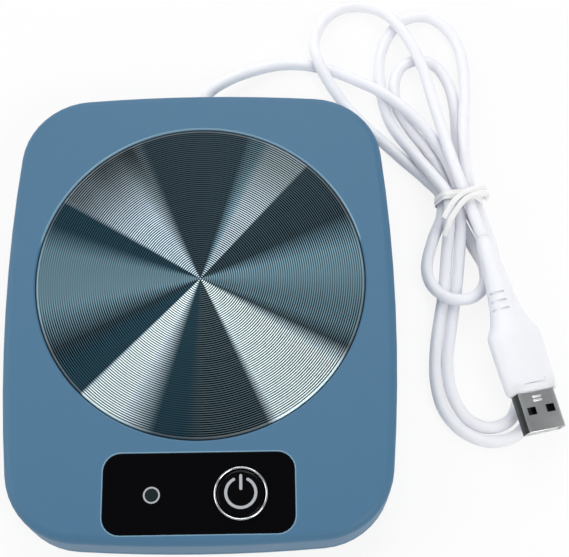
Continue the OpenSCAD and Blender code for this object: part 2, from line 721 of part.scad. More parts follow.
module control_panel() color(gloss_black) difference() {
  bevel = 0.25;
  at_panel() loft(
    [round_rect(panel_w, panel_l, panel_r), round_rect(panel_w, panel_l, panel_r),
     round_rect(panel_w - 2 * bevel, panel_l - 2 * bevel, panel_r - bevel)],
    [panel_z, panel_top_z - bevel, panel_top_z]);
  panel_hole(button_x, panel_z - 1, top_z + 1, panel_hole_r);
  panel_hole(-lamp_x, panel_z - 1, top_z + 1, lamp_r + fit);
}

module panel_adhesive() color("#d9d9d2") difference() {
  at_panel() panel_plate(adhesive_z, panel_z, -0.6);
  panel_hole(button_x, adhesive_z - 1, top_z, button_hole_r + 0.6);
  panel_hole(-lamp_x, adhesive_z - 1, top_z, lamp_r + 0.6);
}

module button_bezel() color("#dfe2e6") translate([button_x, -control_y, 0]) rotate_extrude($fn = 96) {
  lip = 0.22;
  polygon([
    [bezel_in_r, adhesive_z - 0.4], [spigot_r, adhesive_z - 0.4], [spigot_r, panel_top_z],
    [bezel_r, panel_top_z], [bezel_r, bezel_top_z - lip], [bezel_r - lip, bezel_top_z],
    [bezel_in_r + lip, bezel_top_z], [bezel_in_r, bezel_top_z - lip]
  ]);
}

module power_button() color(gloss_black) translate([button_x, -control_y, 0]) {
  edge = 0.5;
  rotate_extrude($fn = 96) polygon([
    [0, cap_top_z - cap_top_t], [button_r - cap_wall, cap_top_z - cap_top_t],
    [button_r - cap_wall, flange_z], [flange_r, flange_z], [flange_r, flange_z + flange_t],
    [button_r, flange_z + flange_t], [button_r, cap_top_z - edge], [button_r - edge * 0.3, cap_top_z - edge * 0.3],
    [button_r - edge, cap_top_z], [0, cap_top_z]
  ]);
  cylinder_between(plunger_top_z, cap_top_z - cap_top_t / 2, stem_r);
  for (a = [0, 90]) rotate(a)
    box_on(0, 0, flange_z + 1, [2 * (button_r - cap_wall / 2), 0.9, cap_top_z - cap_top_t / 2 - flange_z - 1]);
}

module indicator_lens() color("#3c4a44") translate([-lamp_x, -control_y, 0]) {
  cylinder_between(board_top_z + led_h + 0.4, panel_top_z, lamp_r);
  cylinder_between(panel_seat_z - lamp_flange_t, panel_seat_z, lamp_flange_r);
}

module indicator_led() color("#dfe6ea") translate([-lamp_x, -control_y, board_top_z]) {
  cylinder_between(0, 1, led_r + 0.4);
  cylinder_between(0, led_h - led_r, led_r);
  translate([0, 0, led_h - led_r]) sphere(r = led_r);
  for (s = [-1, 1]) translate([s * 1.27 / 1.5, 0, 0]) cylinder_between(-board_t - 1, 0.5, 0.25);
}

// ---------------------------------------------------------------- circuit board

module leg_holes(x, y, step, n, r) {
  for (i = [0:n - 1]) translate([x + (i - (n - 1) / 2) * step, y, 0]) cylinder_between(board_z - 1, board_top_z + 1, r);
}

module circuit_board() color("#1f6b45") difference() {
  at_board() translate([0, 0, board_z]) linear_extrude(board_t) polygon(round_rect(board_w, board_l, board_r));
  at_board() four_corners(board_screw_x, board_screw_y)
    cylinder_between(board_z - 1, board_top_z + 1, small_pass_r);
  leg_holes(-lamp_x, -control_y, 1.27 / 0.75, 2, 0.4);
  translate([button_x, -control_y, 0]) four_corners(switch_w - 2, switch_w - 5)
    cylinder_between(board_z - 1, board_top_z + 1, 0.5);
}

module board_screws() color(steel) at_board() four_corners(board_screw_x, board_screw_y)
  translate([0, 0, board_z]) small_screw(board_screw_l);

module switch_body() color("#26272a") translate([button_x, -control_y, 0]) {
  bore_r = plunger_d / 2 + 0.2;
  difference() {
    union() {
      translate([0, 0, board_top_z]) linear_extrude(switch_h - 0.4) polygon(round_rect(switch_w, switch_w, 0.8, 3));
      cylinder_between(board_top_z, board_top_z + switch_h, switch_w / 2 - 1.2);
    }
    cylinder_between(board_top_z + 1, board_top_z + switch_h + 1, bore_r);
  }
  four_corners(switch_w - 2, switch_w - 5) cylinder_between(board_z - 0.8, board_top_z + 0.5, 0.4);
}

module switch_plunger() color("#8d9094") translate([button_x, -control_y, 0]) difference() {
  cylinder_between(board_top_z + 2, plunger_top_z, plunger_d / 2);
  cylinder_between(board_top_z + 1, board_top_z + 2.8, plunger_d / 4);
}

module gull_legs(body_w, leg_w, leg_l, step, n) {
  foot_t = 0.2;
  for (s = [-1, 1]) for (i = [0:n - 1]) translate([(i - (n - 1) / 2) * step, s * (body_w / 2 + leg_l / 2), 0]) {
    box_on(0, s * leg_l / 4, 0, [leg_w, leg_l / 2, foot_t]);
    box_on(0, 0, 0, [leg_w, foot_t, 0.8]);
    box_on(0, -s * leg_l / 4, 0.8 - foot_t, [leg_w, leg_l / 2 + 0.1, foot_t]);
  }
}

module controller_chip() color("#1b1c1f") translate([-2, -board_y - 7, board_top_z]) {
  box_on(0, 0, 0.1, [4.9, 3.9, 1.4]);
  gull_legs(3.9, 0.4, 1, 1.27, 4);
}

module power_transistor() color("#232427") translate([-lamp_x - led_r - 5, -board_y, board_top_z]) {
  box_on(0, 0, 0, [6.6, 6.1, 2.3]);
  box_on(0, 3.9, 0, [5.3, 1.8, 0.5]);
  for (s = [-1, 1]) box_on(s * 2.28, -4.2, 0, [0.8, 2.4, 0.6]);
}

module capacitor() color("#b9bdc4") translate([button_x + switch_w / 2 + 4.2, -board_y, board_top_z]) rotate_extrude() polygon([
  [0, 0], [3.3, 0], [3.3, 0.8], [3, 1], [3, 1.4], [3.15, 1.6], [3.15, 5.2], [2.9, 5.4], [0, 5.4]
]);

module chip_resistors() color("#2d2e33") for (i = [0:4])
  box_on(-9 + i * 3, -board_y + 3.5, board_top_z, [1.6, 0.8, 0.45]);

module socket(x) {
  difference() {
    box_on(x, socket_y, board_top_z, [socket_w, socket_d, socket_h]);
    box_on(x, socket_y + 1.4, board_top_z + 0.8, [socket_w - 1.2, socket_d, socket_h - 2]);
  }
  box_on(x, socket_y + 0.1, board_top_z + 1.2, [socket_w - 2, 3.8, socket_h - 2.4]);
}

module wire_connectors() color("#efeee6") for (x = [heater_socket_x, sensor_socket_x, supply_socket_x]) socket(x);

module supply_leads() {
  for (s = [-1, 1]) color(s < 0 ? "#1d1d1f" : "#c03530") wire([
    [s * 0.85, inner_end_y, exit_z], [s * 1, inner_end_y - 6, exit_z],
    [s * 1.2 + 2, plate_y + film_r * 0.3, exit_z], [s * 1.2 + 6, plate_y - film_r * 0.6, exit_z + 0.5],
    [s * 1.2 + supply_socket_x, plate_y - film_r - 0.5, under_z],
    [s * 1.2 + supply_socket_x, socket_mouth_y + 1, lead_z], [s * 1.2 + supply_socket_x, socket_mouth_y, lead_z]
  ], 1.3);
}

// ---------------------------------------------------------------- cable exit

module cable_saddle() color("#e8e6de") difference() {
  box_on(0, saddle_y, exit_z, [saddle_w, saddle_l, cable_r + saddle_t]);
  translate([0, saddle_y - saddle_l, exit_z]) rotate([-90, 0, 0]) cylinder(h = 2 * saddle_l, r = cable_hole_r);
  for (s = [-1, 1]) translate([s * saddle_screw_x / 2, saddle_y, 0])
    cylinder_between(exit_z - 1, exit_z + 10, small_pass_r);
}

module saddle_screws() color(steel) for (s = [-1, 1])
  translate([s * saddle_screw_x / 2, saddle_y, exit_z + cable_r + saddle_t]) mirror([0, 0, 1])
    small_screw(cable_r + saddle_t + exit_rise - 1);

module cable_grommet() color(cable_white) translate([0, back_y - wall, exit_z]) rotate([-90, 0, 0])
  rotate_extrude() polygon([
    [cable_hole_r, -grommet_flange_t - fit], [grommet_flange_r, -grommet_flange_t - fit],
    [grommet_flange_r, -fit], [neck_r - fit, -fit], [neck_r - fit, wall + fit], [grommet_flange_r - 0.6, wall + fit],
    [grommet_flange_r - 0.8, wall + 0.7], [cable_hole_r + 0.7, wall + grommet_out], [cable_hole_r, wall + grommet_out]
  ]);

// ---------------------------------------------------------------- cable and plug

module usb_cable() color(cable_white) wire(cable_route, cable_d);

// Outline at a distance round a ring of points, given anticlockwise
function wrapped(points, r, steps = 4) = let(n = len(points)) [for (k = [0:n - 1])
    let(
      before = points[k] - points[(k + n - 1) % n],
      after = points[(k + 1) % n] - points[k],
      from = atan2(-before.x, before.y),
      turn = (atan2(-after.x, after.y) - from + 720) % 360
    )
    for (i = [0:steps]) points[k] + r * [cos(from + turn * i / steps), sin(from + turn * i / steps)]
  ];

module cable_tie() color("#f6f6f4") {
  inner = cable_r + tie_gap;
  translate([0, tie_y + tie_w / 2, 0]) rotate([90, 0, 0]) linear_extrude(tie_w) difference() {
    polygon(wrapped(tie_strands, inner + tie_t));
    polygon(wrapped(tie_strands, inner));
  }
  // The two twisted ends, bent outwards
  for (s = [-1, 1]) wire([
    [84.6, tie_y + s * 0.6, 8.2], [86, tie_y - s * 0.7, 8.8], [87.6, tie_y + s * 0.8 + 0.6, 9.2],
    [89.2, tie_y + s * 2 + 1.4, 9.4], [90.6, tie_y + s * 3.4 + 1.2, 9]
  ], 1.1, 6);
}

module plug_frame() {
  translate(plug_at) rotate([0, 0, plug_yaw]) rotate([plug_pitch, 0, 0]) rotate([0, plug_roll, 0])
    rotate([90, 0, 0]) children();
}

// The boot's slits, as distances from the cable end
slit_at = [18.2, 20.9, 23.4];

module plug_overmould() color(cable_white) plug_frame() difference() {
  // [distance from the cable end, width, thickness, corner radius]
  stations = [
    [0, 4.5, 4.5, 2], [7, 5.4, 5, 2.1], [14, 6.6, 5.6, 2.3], [21.5, 8.4, 6.3, 2.5],
    [boot_l, boot_w, plug_h - 1, 2.6], [boot_l + shoulder_l * 0.7, plug_w - 1, plug_h - 0.3, 2.6],
    [boot_l + shoulder_l, plug_w, plug_h, 2.4], [plug_l - 1.4, plug_w - 0.5, plug_h, 2.2],
    [plug_l - 0.4, plug_w - 1.3, plug_h - 0.7, 2], [plug_l, plug_w - 2.5, plug_h - 1.6, 1.6]
  ];
  loft([for (s = stations) round_rect(s[1], s[2], s[3], 4)], [for (s = stations) s[0]]);
  translate([0, 0, plug_l - shell_in]) linear_extrude(shell_in + 1)
    polygon(round_rect(shell_w, shell_h, shell_r, 3));
  // Three slits across the left of the boot's top, and the same below
  for (s = slit_at, side = [-1, 1]) let(top = lookup(s, [for (t = stations) [t[0], t[2] / 2]]))
    box_on(-side * 0.6, side * top, s - 0.3, [4.4, 0.9, 0.6]);
}

module plug_shell() color(steel) plug_frame() difference() {
  translate([0, 0, plug_l - shell_in]) linear_extrude(shell_in + shell_out)
    polygon(round_rect(shell_w, shell_h, shell_r, 3));
  translate([0, 0, plug_l - shell_in - 1]) linear_extrude(shell_in + shell_out + 2)
    polygon(round_rect(shell_w - 2 * shell_sheet, shell_h - 2 * shell_sheet, shell_r - shell_sheet, 3));
  for (s = [-1, 1]) box_on(s * 2.95, 0, plug_l + 4.4, [2.6, shell_h + 1, 2.3]);
}

module plug_tongue() color("#f2f2f0") plug_frame() {
  inner_h = shell_h - 2 * shell_sheet;
  inner_w = shell_w - 2 * shell_r - 0.1;
  box_on(0, -inner_h / 2 + tongue_plug_h / 2, plug_l - shell_in, [inner_w, tongue_plug_h, shell_in + shell_out - 0.5]);
  box_on(0, 0, plug_l - shell_in, [inner_w, inner_h - 0.05, shell_in - 1]);
}

module plug_contacts() color("#d6b25e") plug_frame() for (i = [0:contact_n - 1]) {
  inner_h = shell_h - 2 * shell_sheet;
  outer = i == 0 || i == contact_n - 1;
  box_on((i - 1.5) * 2.3, -inner_h / 2 + tongue_plug_h + 0.1, plug_l - 1,
    [1.1, 0.2, outer ? shell_out - 1 : shell_out - 2]);
}

// ---------------------------------------------------------------- fasteners and feet

module housing_screws() color(steel) four_corners(housing_screw_x, housing_screw_y)
  translate([0, 0, head_z]) screw_up(head_r, head_h, core_r, housing_screw_l);

module rubber_feet() color("#2a2b2d") four_corners(foot_x, foot_y) rotate_extrude() polygon([
  [0, 0], [foot_d / 2 - 0.5, 0], [foot_d / 2, 0.5], [foot_d / 2, base_z + foot_pocket], [0, base_z + foot_pocket]
]);

upper_housing();
lower_housing();
heating_plate();
plate_seal();
heating_film();
heating_track();
insulation_pad();
heater_clamp();
clamp_screws();
thermistor();
thermal_fuse();
heater_leads();
sensor_leads();
control_panel();
panel_adhesive();
button_bezel();
power_button();
indicator_lens();
indicator_led();
switch_body();
switch_plunger();
circuit_board();
board_screws();
power_transistor();
controller_chip();
capacitor();
chip_resistors();
wire_connectors();
supply_leads();
cable_saddle();
saddle_screws();
cable_grommet();
usb_cable();
cable_tie();
plug_overmould();
plug_shell();
plug_tongue();
plug_contacts();
housing_screws();
rubber_feet();
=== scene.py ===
"""Dresses the CAD model of an electric mug warmer and sets a plain studio round it."""
import json
import math

import bpy
from bpy.props import FloatProperty, FloatVectorProperty, IntProperty, PointerProperty
from mathutils import Matrix, Vector


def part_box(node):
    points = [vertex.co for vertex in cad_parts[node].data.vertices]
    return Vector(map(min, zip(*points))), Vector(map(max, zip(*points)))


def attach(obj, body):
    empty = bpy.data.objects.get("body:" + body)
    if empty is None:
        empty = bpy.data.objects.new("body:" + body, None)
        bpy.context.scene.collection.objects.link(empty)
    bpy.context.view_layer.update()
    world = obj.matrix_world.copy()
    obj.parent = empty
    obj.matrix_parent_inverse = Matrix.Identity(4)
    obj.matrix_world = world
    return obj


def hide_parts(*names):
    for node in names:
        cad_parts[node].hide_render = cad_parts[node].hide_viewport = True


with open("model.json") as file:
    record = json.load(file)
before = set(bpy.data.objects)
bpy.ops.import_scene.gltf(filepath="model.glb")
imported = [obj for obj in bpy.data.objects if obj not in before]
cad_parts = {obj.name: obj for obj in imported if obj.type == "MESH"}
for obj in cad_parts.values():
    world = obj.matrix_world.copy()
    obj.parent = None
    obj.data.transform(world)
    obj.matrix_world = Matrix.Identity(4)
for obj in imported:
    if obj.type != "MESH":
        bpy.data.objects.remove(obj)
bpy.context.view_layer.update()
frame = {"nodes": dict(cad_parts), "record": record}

bl_info = {
    "name": "Mug warmer",
    "version": (1, 0, 0),
    "blender": (4, 5, 0),
    "location": "3D View > Sidebar > Mug warmer",
    "description": "Finishes for a desk mug warmer with a folded cable, and a plain studio",
    "category": "Add Mesh",
}

MM = 0.001


def colour(code):
    """An sRGB hex colour as the linear one that a shader socket takes."""
    channels = [int(code[i:i + 2], 16) / 255 for i in (1, 3, 5)]
    linear = [c / 12.92 if c <= 0.04045 else ((c + 0.055) / 1.055) ** 2.4 for c in channels]
    return (*linear, 1.0)


def colour_property(name, description, code):
    return FloatVectorProperty(name=name, description=description, subtype="COLOR", size=4,
                               min=0, max=1, default=colour(code))


def number_property(name, description, value, low, high, **more):
    return FloatProperty(name=name, description=description, default=value, min=low, max=high, **more)


# -------------------- sizes and colours

class StageSettings(bpy.types.PropertyGroup):
    floor_size: number_property("Floor size", "Side of the square floor", 6.0, 1, 20, unit="LENGTH")
    floor_white: number_property("Floor white", "Share of the floor's white that is its own in the view",
                                 0.86, 0, 1, subtype="FACTOR")
    sky_level: number_property("Sky level", "Strength of the light from all round, at the horizon", 0.88, 0, 2)
    key_level: number_property("Key lamp", "Power of the lamp at the front right in watts", 3.9, 0, 100)
    fill_level: number_property("Fill lamps", "Power of the lamps at the left and the back in watts", 2.9, 0, 100)
    top_level: number_property("Top lamp", "Power of the lamp above and behind in watts", 3.6, 0, 100)


class HousingSettings(bpy.types.PropertyGroup):
    shell_colour: colour_property("Shell colour", "Colour of the moulded housing", "#467291")
    # A paler blue, used for painted highlights on the edges round the plate and the panel
    edge_highlight_colour: colour_property("Edge colour", "Colour of the edges round the plate and the panel", "#7FA3B9")
    grain: number_property("Grain", "Width of the mould's fine spark grain",
                           0.35 * MM, 0.05 * MM, 2 * MM, unit="LENGTH")


class PlateSettings(bpy.types.PropertyGroup):
    # The real grooves are about 0.47 mm apart, too fine to show, so they are drawn as wide as they need
    # The sector tones are painted reflections: colours that stand in for the light that the turned grooves
    # reflect
    bright: colour_property("Bright sector", "Tone where the turned grooves catch the light", "#A8B8BE")
    pale: colour_property("Pale sector", "Tone of the paler sector at the back left", "#91A2AB")
    hazy: colour_property("Hazy sector", "Tone of the paler sector at the back right", "#7B8990")
    middle: colour_property("Middle sector", "Tone at the left and the right", "#566F7A")
    slate: colour_property("Slate sector", "Tone between the middle and the dark sectors", "#4C626B")
    dark: colour_property("Dark sector", "Tone where the turned grooves face away", "#253036")
    dim: colour_property("Dim sector", "Tone of the sector at the front", "#303C41")
    deep: colour_property("Deep sector", "Tone beside the bright sectors", "#1F343E")
    groove: number_property("Groove spacing", "Distance between the turned grooves",
                            0.65 * MM, 0.3 * MM, 3 * MM, unit="LENGTH")


class ControlSettings(bpy.types.PropertyGroup):
    panel_colour: colour_property("Panel colour", "Colour of the glossy panel", "#050507")
    print_colour: colour_property("Print colour", "Colour of the printed symbol and lamp ring", "#B0B3B8")
    chrome_colour: colour_property("Ring colour", "Colour of the plated ring round the button", "#DADDE0")
    lens_colour: colour_property("Lamp colour", "Colour of the lamp's window when off", "#12211F")
    line: number_property("Symbol line", "Width of the symbol's line", 0.8 * MM, 0.2 * MM, 2 * MM, unit="LENGTH")
    symbol: number_property("Symbol radius", "Outer radius of the symbol's arc",
                            4.5 * MM, 2 * MM, 6 * MM, unit="LENGTH")


class CableSettings(bpy.types.PropertyGroup):
    diameter: number_property("Diameter", "Diameter of the cable", 3.6 * MM, 2 * MM, 6 * MM, unit="LENGTH")
    steps: IntProperty(name="Steps", description="Points drawn between two points of the route",
                       default=10, min=2, max=40)
    jacket_colour: colour_property("Jacket colour", "Colour of the cable and its plug", "#F2F3FB")
    tie_colour: colour_property("Tie colour", "Colour of the twist tie", "#F4F4F3")


# -------------------- measures from the frame

PLATE_LOW, PLATE_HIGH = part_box("heating_plate")
PLATE_Y = (PLATE_LOW.y + PLATE_HIGH.y) / 2
PLATE_R = (PLATE_HIGH.x - PLATE_LOW.x) / 2
BUTTON_LOW, BUTTON_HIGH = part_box("power_button")
BUTTON = (BUTTON_LOW + BUTTON_HIGH) / 2
LENS_LOW, LENS_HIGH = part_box("indicator_lens")
LENS = (LENS_LOW + LENS_HIGH) / 2
PANEL_LOW, PANEL_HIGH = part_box("control_panel")
PANEL_ROUND = 4.8 * MM
PANEL_GAP = 0.15 * MM

# The plate's bevel, and the painted highlight line along the edge of the panel's recess
BEVEL = 0.6 * MM
RECESS_HIGHLIGHT = 0.26 * MM

# The printed marks in millimetres: the lamp's ring with its radius and width; the power symbol's
# place behind the button's middle, the half of its opening in degrees, and its bar's two ends
LAMP_RING = (2.08, 0.46)
SYMBOL_BACK = 0.2
SYMBOL_OPEN = 28
SYMBOL_BAR = (1.1, 4.65)

# The plug's frame: its cable end in millimetres, its turn about Z, X and Y in degrees, and its sizes
PLUG_AT = (83.2, 25.4, 9.8)
PLUG_TURN = (13.4, 1.2, 13.5)
PLUG_LENGTH = 51.3
SHELL_WIDE, SHELL_HIGH, SHELL_SHEET, SHELL_OUT = 12.0, 4.5, 0.3, 11.5

# The moulded plug body: distance from its cable end, width and height, in millimetres;
# and the same for the slits in its boot
PLUG_STATIONS = [
    (0, 3.9, 3.9), (7, 5.3, 5.0), (14, 6.6, 5.6), (21.5, 8.4, 6.3), (29, 11.4, 7.0), (32.15, 16.0, 7.7),
    (33.5, 17.0, 8.0), (36, 17.0, 8.0), (49.9, 16.5, 8.0), (50.9, 15.7, 7.3), (51.3, 14.5, 6.4),
]
PLUG_SLITS = [(20.4, 8.0, 6.2), (23.0, 9.0, 6.45), (25.6, 10.0, 6.7)]
SLIT_WIDE, SLIT_DEEP = 0.75, 0.75
# The engraved line near the body's front and the piece turned back at its right end: place and size
ENGRAVED_LINE = [((0, 4.0, 49.1), (6.9, 1.4, 0.36)), ((3.5, 4.0, 48.5), (0.36, 1.4, 1.4))]
# The bars stamped out of the shell: their size, and their distances from the body's front
BAR_SIZE = (2.8, 0.5, 0.7)
BAR_PLACES = (1.6, 2.7)

# The cable's centre line in millimetres, from the clamp inside the housing to the plug
CABLE_ROUTE = [
    (0, 52, 7.5), (0, 62, 7.5), (0, 70, 7.5), (1, 74.2, 7.1), (5.4, 78.8, 5.7), (14, 84.2, 3.2),
    (25.6, 87.5, 1.9), (37.5, 86, 1.8), (48, 80.6, 3.5), (57.3, 74, 5.6), (66.1, 65.9, 5.4),
    (72.7, 56.4, 4.4), (76.9, 45.4, 5.6), (78, 32.9, 6.3), (77.4, 21.1, 4.1), (75.9, 9.3, 1.9),
    (73.7, -2.5, 1.8), (72, -14.3, 1.8), (73.2, -23.4, 1.8), (77.4, -30.4, 1.8), (83.3, -32.8, 1.8),
    (89.3, -30.5, 1.8), (92.2, -23.8, 1.8), (91.4, -14, 1.8), (89.2, -2.2, 2.1), (88.3, 9.6, 4.3),
    (87.1, 21.5, 5.6), (84, 33.1, 5.8), (81.1, 44.7, 5.8), (80.8, 60.8, 5.4), (82.6, 78.3, 3),
    (81.7, 92.4, 1.8), (77.8, 100.1, 1.8), (71.8, 104.4, 1.8), (64.6, 103.3, 1.8), (59.4, 98, 1.8),
    (56, 88.9, 1.8), (56, 77.3, 1.8), (58.7, 65.7, 2.1), (64.4, 55.2, 4.1), (70.5, 45.3, 7), (74.3, 38, 8.7),
    (74.5, 30.3, 7.4), (73.6, 21.2, 3.3), (72.2, 9.4, 1.8), (68.9, -8.2, 1.8), (68.4, -19.2, 1.8),
    (70.4, -27.6, 1.8), (75.4, -33.8, 1.8), (82.6, -36.9, 1.8), (90.2, -35.5, 1.8), (95.4, -29.4, 1.8),
    (96.6, -19.8, 1.8), (94.9, -7.6, 1.8), (91, 10.8, 1.8), (84.7, 27.6, 1.9), (80.4, 38.5, 2.7),
    (79.2, 52.8, 1.8), (78.9, 72.8, 1.8), (76.9, 81.4, 1.8), (73, 86.8, 1.8), (67.6, 88.3, 1.8),
    (62.5, 85.6, 1.8), (60.3, 79.4, 1.8), (60.8, 72.2, 1.8), (64.2, 64.6, 1.8), (69.6, 56.2, 1.8),
    (74.2, 46.4, 2.2), (77.2, 34.7, 2.7), (81.8, 24.1, 1.8), (84.9, 16.8, 1.9), (84, 10.2, 3), (79.9, 6.1, 5),
    (73.7, 5.8, 5.5), (68.7, 10.1, 4.5), (67.5, 17.2, 2.1), (69.8, 26, 2.8), (72.7, 33, 4.8),
    (72.7, 39.6, 4.8), (69, 45.5, 2.9), (60, 55.2, 1.8), (46.4, 69.8, 2.1), (39.2, 80, 4.3),
    (35.9, 87.4, 5.4), (35.1, 94.8, 3.2), (38.1, 103, 1.9), (44.3, 107.9, 1.8), (52.3, 108, 2.4),
    (58.8, 103.4, 4.9), (64.5, 95.1, 5.7), (69, 84.4, 5.4), (71.8, 72.8, 5.2), (74, 61.1, 6.9),
    (76.3, 49.5, 9.1), (79.5, 37.9, 9.7), (83.2, 25.4, 9.8), (83.9, 22.5, 9.74),
]

# The twist tie in millimetres: the strands that its band lies on, as (x, z) seen from the front,
# the band's place, its distance from a strand and the steps of its arc round one
TIE_STRANDS = [(76.5, 2.7), (80.7, 2.7), (82.8, 5.8), (79.7, 9.7), (74.4, 8.7), (73, 5)]
TIE_Y = 37.3
TIE_CLEAR = 0.45
TIE_STEPS = 6
# The band's section, a flat strip with a wire in its middle, and half the size of an end's section
TIE_STRIP = [
    (-1.35, -0.11), (-0.4, -0.11), (-0.22, -0.26), (0.22, -0.26), (0.4, -0.11), (1.35, -0.11),
    (1.35, 0.11), (0.4, 0.11), (0.22, 0.26), (-0.22, 0.26), (-0.4, 0.11), (-1.35, 0.11),
]
TIE_END_HALF = (0.85, 0.33)
# The two twisted ends, laid over the band from the lower left to the right
TIE_ENDS = [
    [(72.4, 29.5, 11.2), (74.3, 32.8, 12.0), (76.8, 35.7, 12.6), (79.5, 37.4, 13.0), (82.6, 38.3, 12.9),
     (85.5, 39.2, 11.6)],
    [(72.6, 24.8, 8.5), (73.6, 27.2, 10.2), (74.9, 29.8, 11.2), (76.9, 32.6, 12.3), (78.3, 34.2, 12.8),
     (80.7, 35.8, 13.1), (83.5, 36.6, 12.5), (85.7, 36.8, 11.2), (85.1, 35.7, 10.2)],
]

# Every finish: how much broader its slow change is than its grain, as a share of the scale, how much
# the roughness swings with it, and how deep the grain is at full strength
BROAD_SCALE = 0.04
ROUGHNESS_SWING = 0.08
GRAIN_DEPTH = 0.02 * MM


# -------------------- helpers

def settings():
    return bpy.context.scene.mug_warmer


def select_none():
    bpy.ops.object.select_all(action="DESELECT")


def select_only(obj):
    select_none()
    obj.select_set(True)
    bpy.context.view_layer.objects.active = obj


def body_of(node):
    bodies = frame["record"]["behaviour"]["bodies"]
    return next(body for body, nodes in bodies.items() if node in nodes)


def connect(node, inputs):
    """Sets a node's inputs, in order or by key, to values or to links from sockets or nodes."""
    for key, value in (inputs if isinstance(inputs, dict) else dict(enumerate(inputs))).items():
        if isinstance(value, bpy.types.Node):
            value = value.outputs[0]
        if isinstance(value, bpy.types.NodeSocket):
            node.id_data.links.new(value, node.inputs[key])
        else:
            node.inputs[key].default_value = value


def add(tree, kind, inputs=(), **attributes):
    """Adds a node with its settings and links."""
    node = tree.nodes.new("ShaderNode" + kind)
    for name, value in attributes.items():
        setattr(node, name, value)
    connect(node, inputs)
    return node


def empty_tree(owner):
    """The emptied node tree of a material or a world."""
    owner.use_nodes = True
    owner.node_tree.nodes.clear()
    return owner.node_tree


def principled(name, **values):
    """A material with a Principled shader whose plain values are set on its sockets."""
    material = bpy.data.materials.new(name)
    tree = empty_tree(material)
    shader = add(tree, "BsdfPrincipled", {key.replace("_", " "): value for key, value in values.items()})
    add(tree, "OutputMaterial", {"Surface": shader})
    return material, tree, shader


# The colour socket of a Mix node; the colours that it mixes go in at 6 and 7
COLOUR = 2


def grey(level):
    return (level, level, level, 1.0)


def fill_ramp(ramp, stops):
    """Gives a colour ramp its stops, as (position, colour) in order."""
    while len(ramp.elements) > 1:
        ramp.elements.remove(ramp.elements[-1])
    ramp.elements[0].position, ramp.elements[0].color = stops[0]
    for position, value in stops[1:]:
        ramp.elements.new(position).color = value


def place_from(tree, centre):
    """The place seen from an upright axis through the centre's X and Y, and its X, Y and Z."""
    place = add(tree, "TexCoord").outputs["Object"]
    moved = add(tree, "Mapping", {"Vector": place, "Location": (centre[0], centre[1], 0)}, vector_type="TEXTURE")
    return moved, add(tree, "SeparateXYZ", [moved]).outputs


def finish(name, tone, roughness=0.5, metallic=0.0, grain=0.4, variation=0.06, bump=0.1, **more):
    """A finish with a fine grain: the tone is a linear colour or a hex code, the grain is in
    millimetres, the variation changes the colour, and the bump the surface."""
    base = colour(tone) if isinstance(tone, str) else tone
    material, tree, shader = principled(name, Metallic=metallic, **more)
    place = add(tree, "TexCoord").outputs["Object"]
    scale = 1 / (grain * MM)
    fine = add(tree, "TexNoise", {"Vector": place, "Scale": scale, "Detail": 3.0})
    broad = add(tree, "TexNoise", {"Vector": place, "Scale": scale * BROAD_SCALE, "Detail": 2.0})
    half = add(tree, "Math", [broad, 0.5], operation="MULTIPLY")
    both = add(tree, "Math", [fine, 0.5, half], operation="MULTIPLY_ADD")
    low, high = ((*(min(1, c * k) for c in base[:3]), 1) for k in (1 - variation, 1 + variation))
    mixed = add(tree, "Mix", {0: both, 6: low, 7: high}, data_type="RGBA")
    rough = add(tree, "MapRange", {"Value": broad, "To Min": roughness * (1 - ROUGHNESS_SWING),
                                   "To Max": roughness * (1 + ROUGHNESS_SWING)})
    lift = add(tree, "Bump", {"Height": fine, "Strength": bump, "Distance": GRAIN_DEPTH})
    connect(shader, {"Base Color": mixed.outputs[COLOUR], "Roughness": rough, "Normal": lift})
    return material


def give(obj, material):
    """Gives the whole object one material."""
    obj.data.materials.clear()
    obj.data.materials.append(material)


def dressed_copy(node, name, material, angle=30.0, weighted=False):
    """A copy of a CAD node with its doubles merged and its curved faces smooth."""
    obj = bpy.data.objects.new(name, frame["nodes"][node].data.copy())
    bpy.context.scene.collection.objects.link(obj)
    select_only(obj)
    bpy.ops.object.mode_set(mode="EDIT")
    bpy.ops.mesh.select_all(action="SELECT")
    bpy.ops.mesh.remove_doubles(threshold=1e-6)
    bpy.ops.object.mode_set(mode="OBJECT")
    bpy.ops.mesh.customdata_custom_splitnormals_clear()
    bpy.ops.object.shade_smooth_by_angle(angle=math.radians(angle))
    if weighted:
        flatten_shading(obj)
    give(obj, material)
    settle(obj, node)
    return obj


def apply_modifier(obj, kind, **values):
    select_only(obj)
    modifier = obj.modifiers.new(kind.title(), kind)
    for key, value in values.items():
        setattr(modifier, key, value)
    bpy.ops.object.modifier_apply(modifier=modifier.name)


def flatten_shading(obj, weight=100):
    """Lets the large faces rule the shading of the small ones beside them."""
    apply_modifier(obj, "WEIGHTED_NORMAL", keep_sharp=True, weight=weight)


def round_edges(obj, width, segments, angle=20):
    """Rounds the edges that are sharper than an angle in degrees."""
    apply_modifier(obj, "BEVEL", width=width, segments=segments, limit_method="ANGLE",
                   angle_limit=math.radians(angle))


def join(obj, others):
    """Makes other objects a part of the first one, which stays active."""
    select_only(obj)
    for other in others:
        other.select_set(True)
    bpy.ops.object.join()


def cut_away(obj, tool):
    """Takes a tool's volume out of an object, and removes the tool."""
    apply_modifier(obj, "BOOLEAN", object=tool, operation="DIFFERENCE", solver="EXACT")
    bpy.data.objects.remove(tool)


def settle(obj, nodes):
    """Makes a finished piece ride with, and stand for, its CAD nodes."""
    nodes = [nodes] if isinstance(nodes, str) else nodes
    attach(obj, body_of(nodes[0]))
    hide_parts(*nodes)


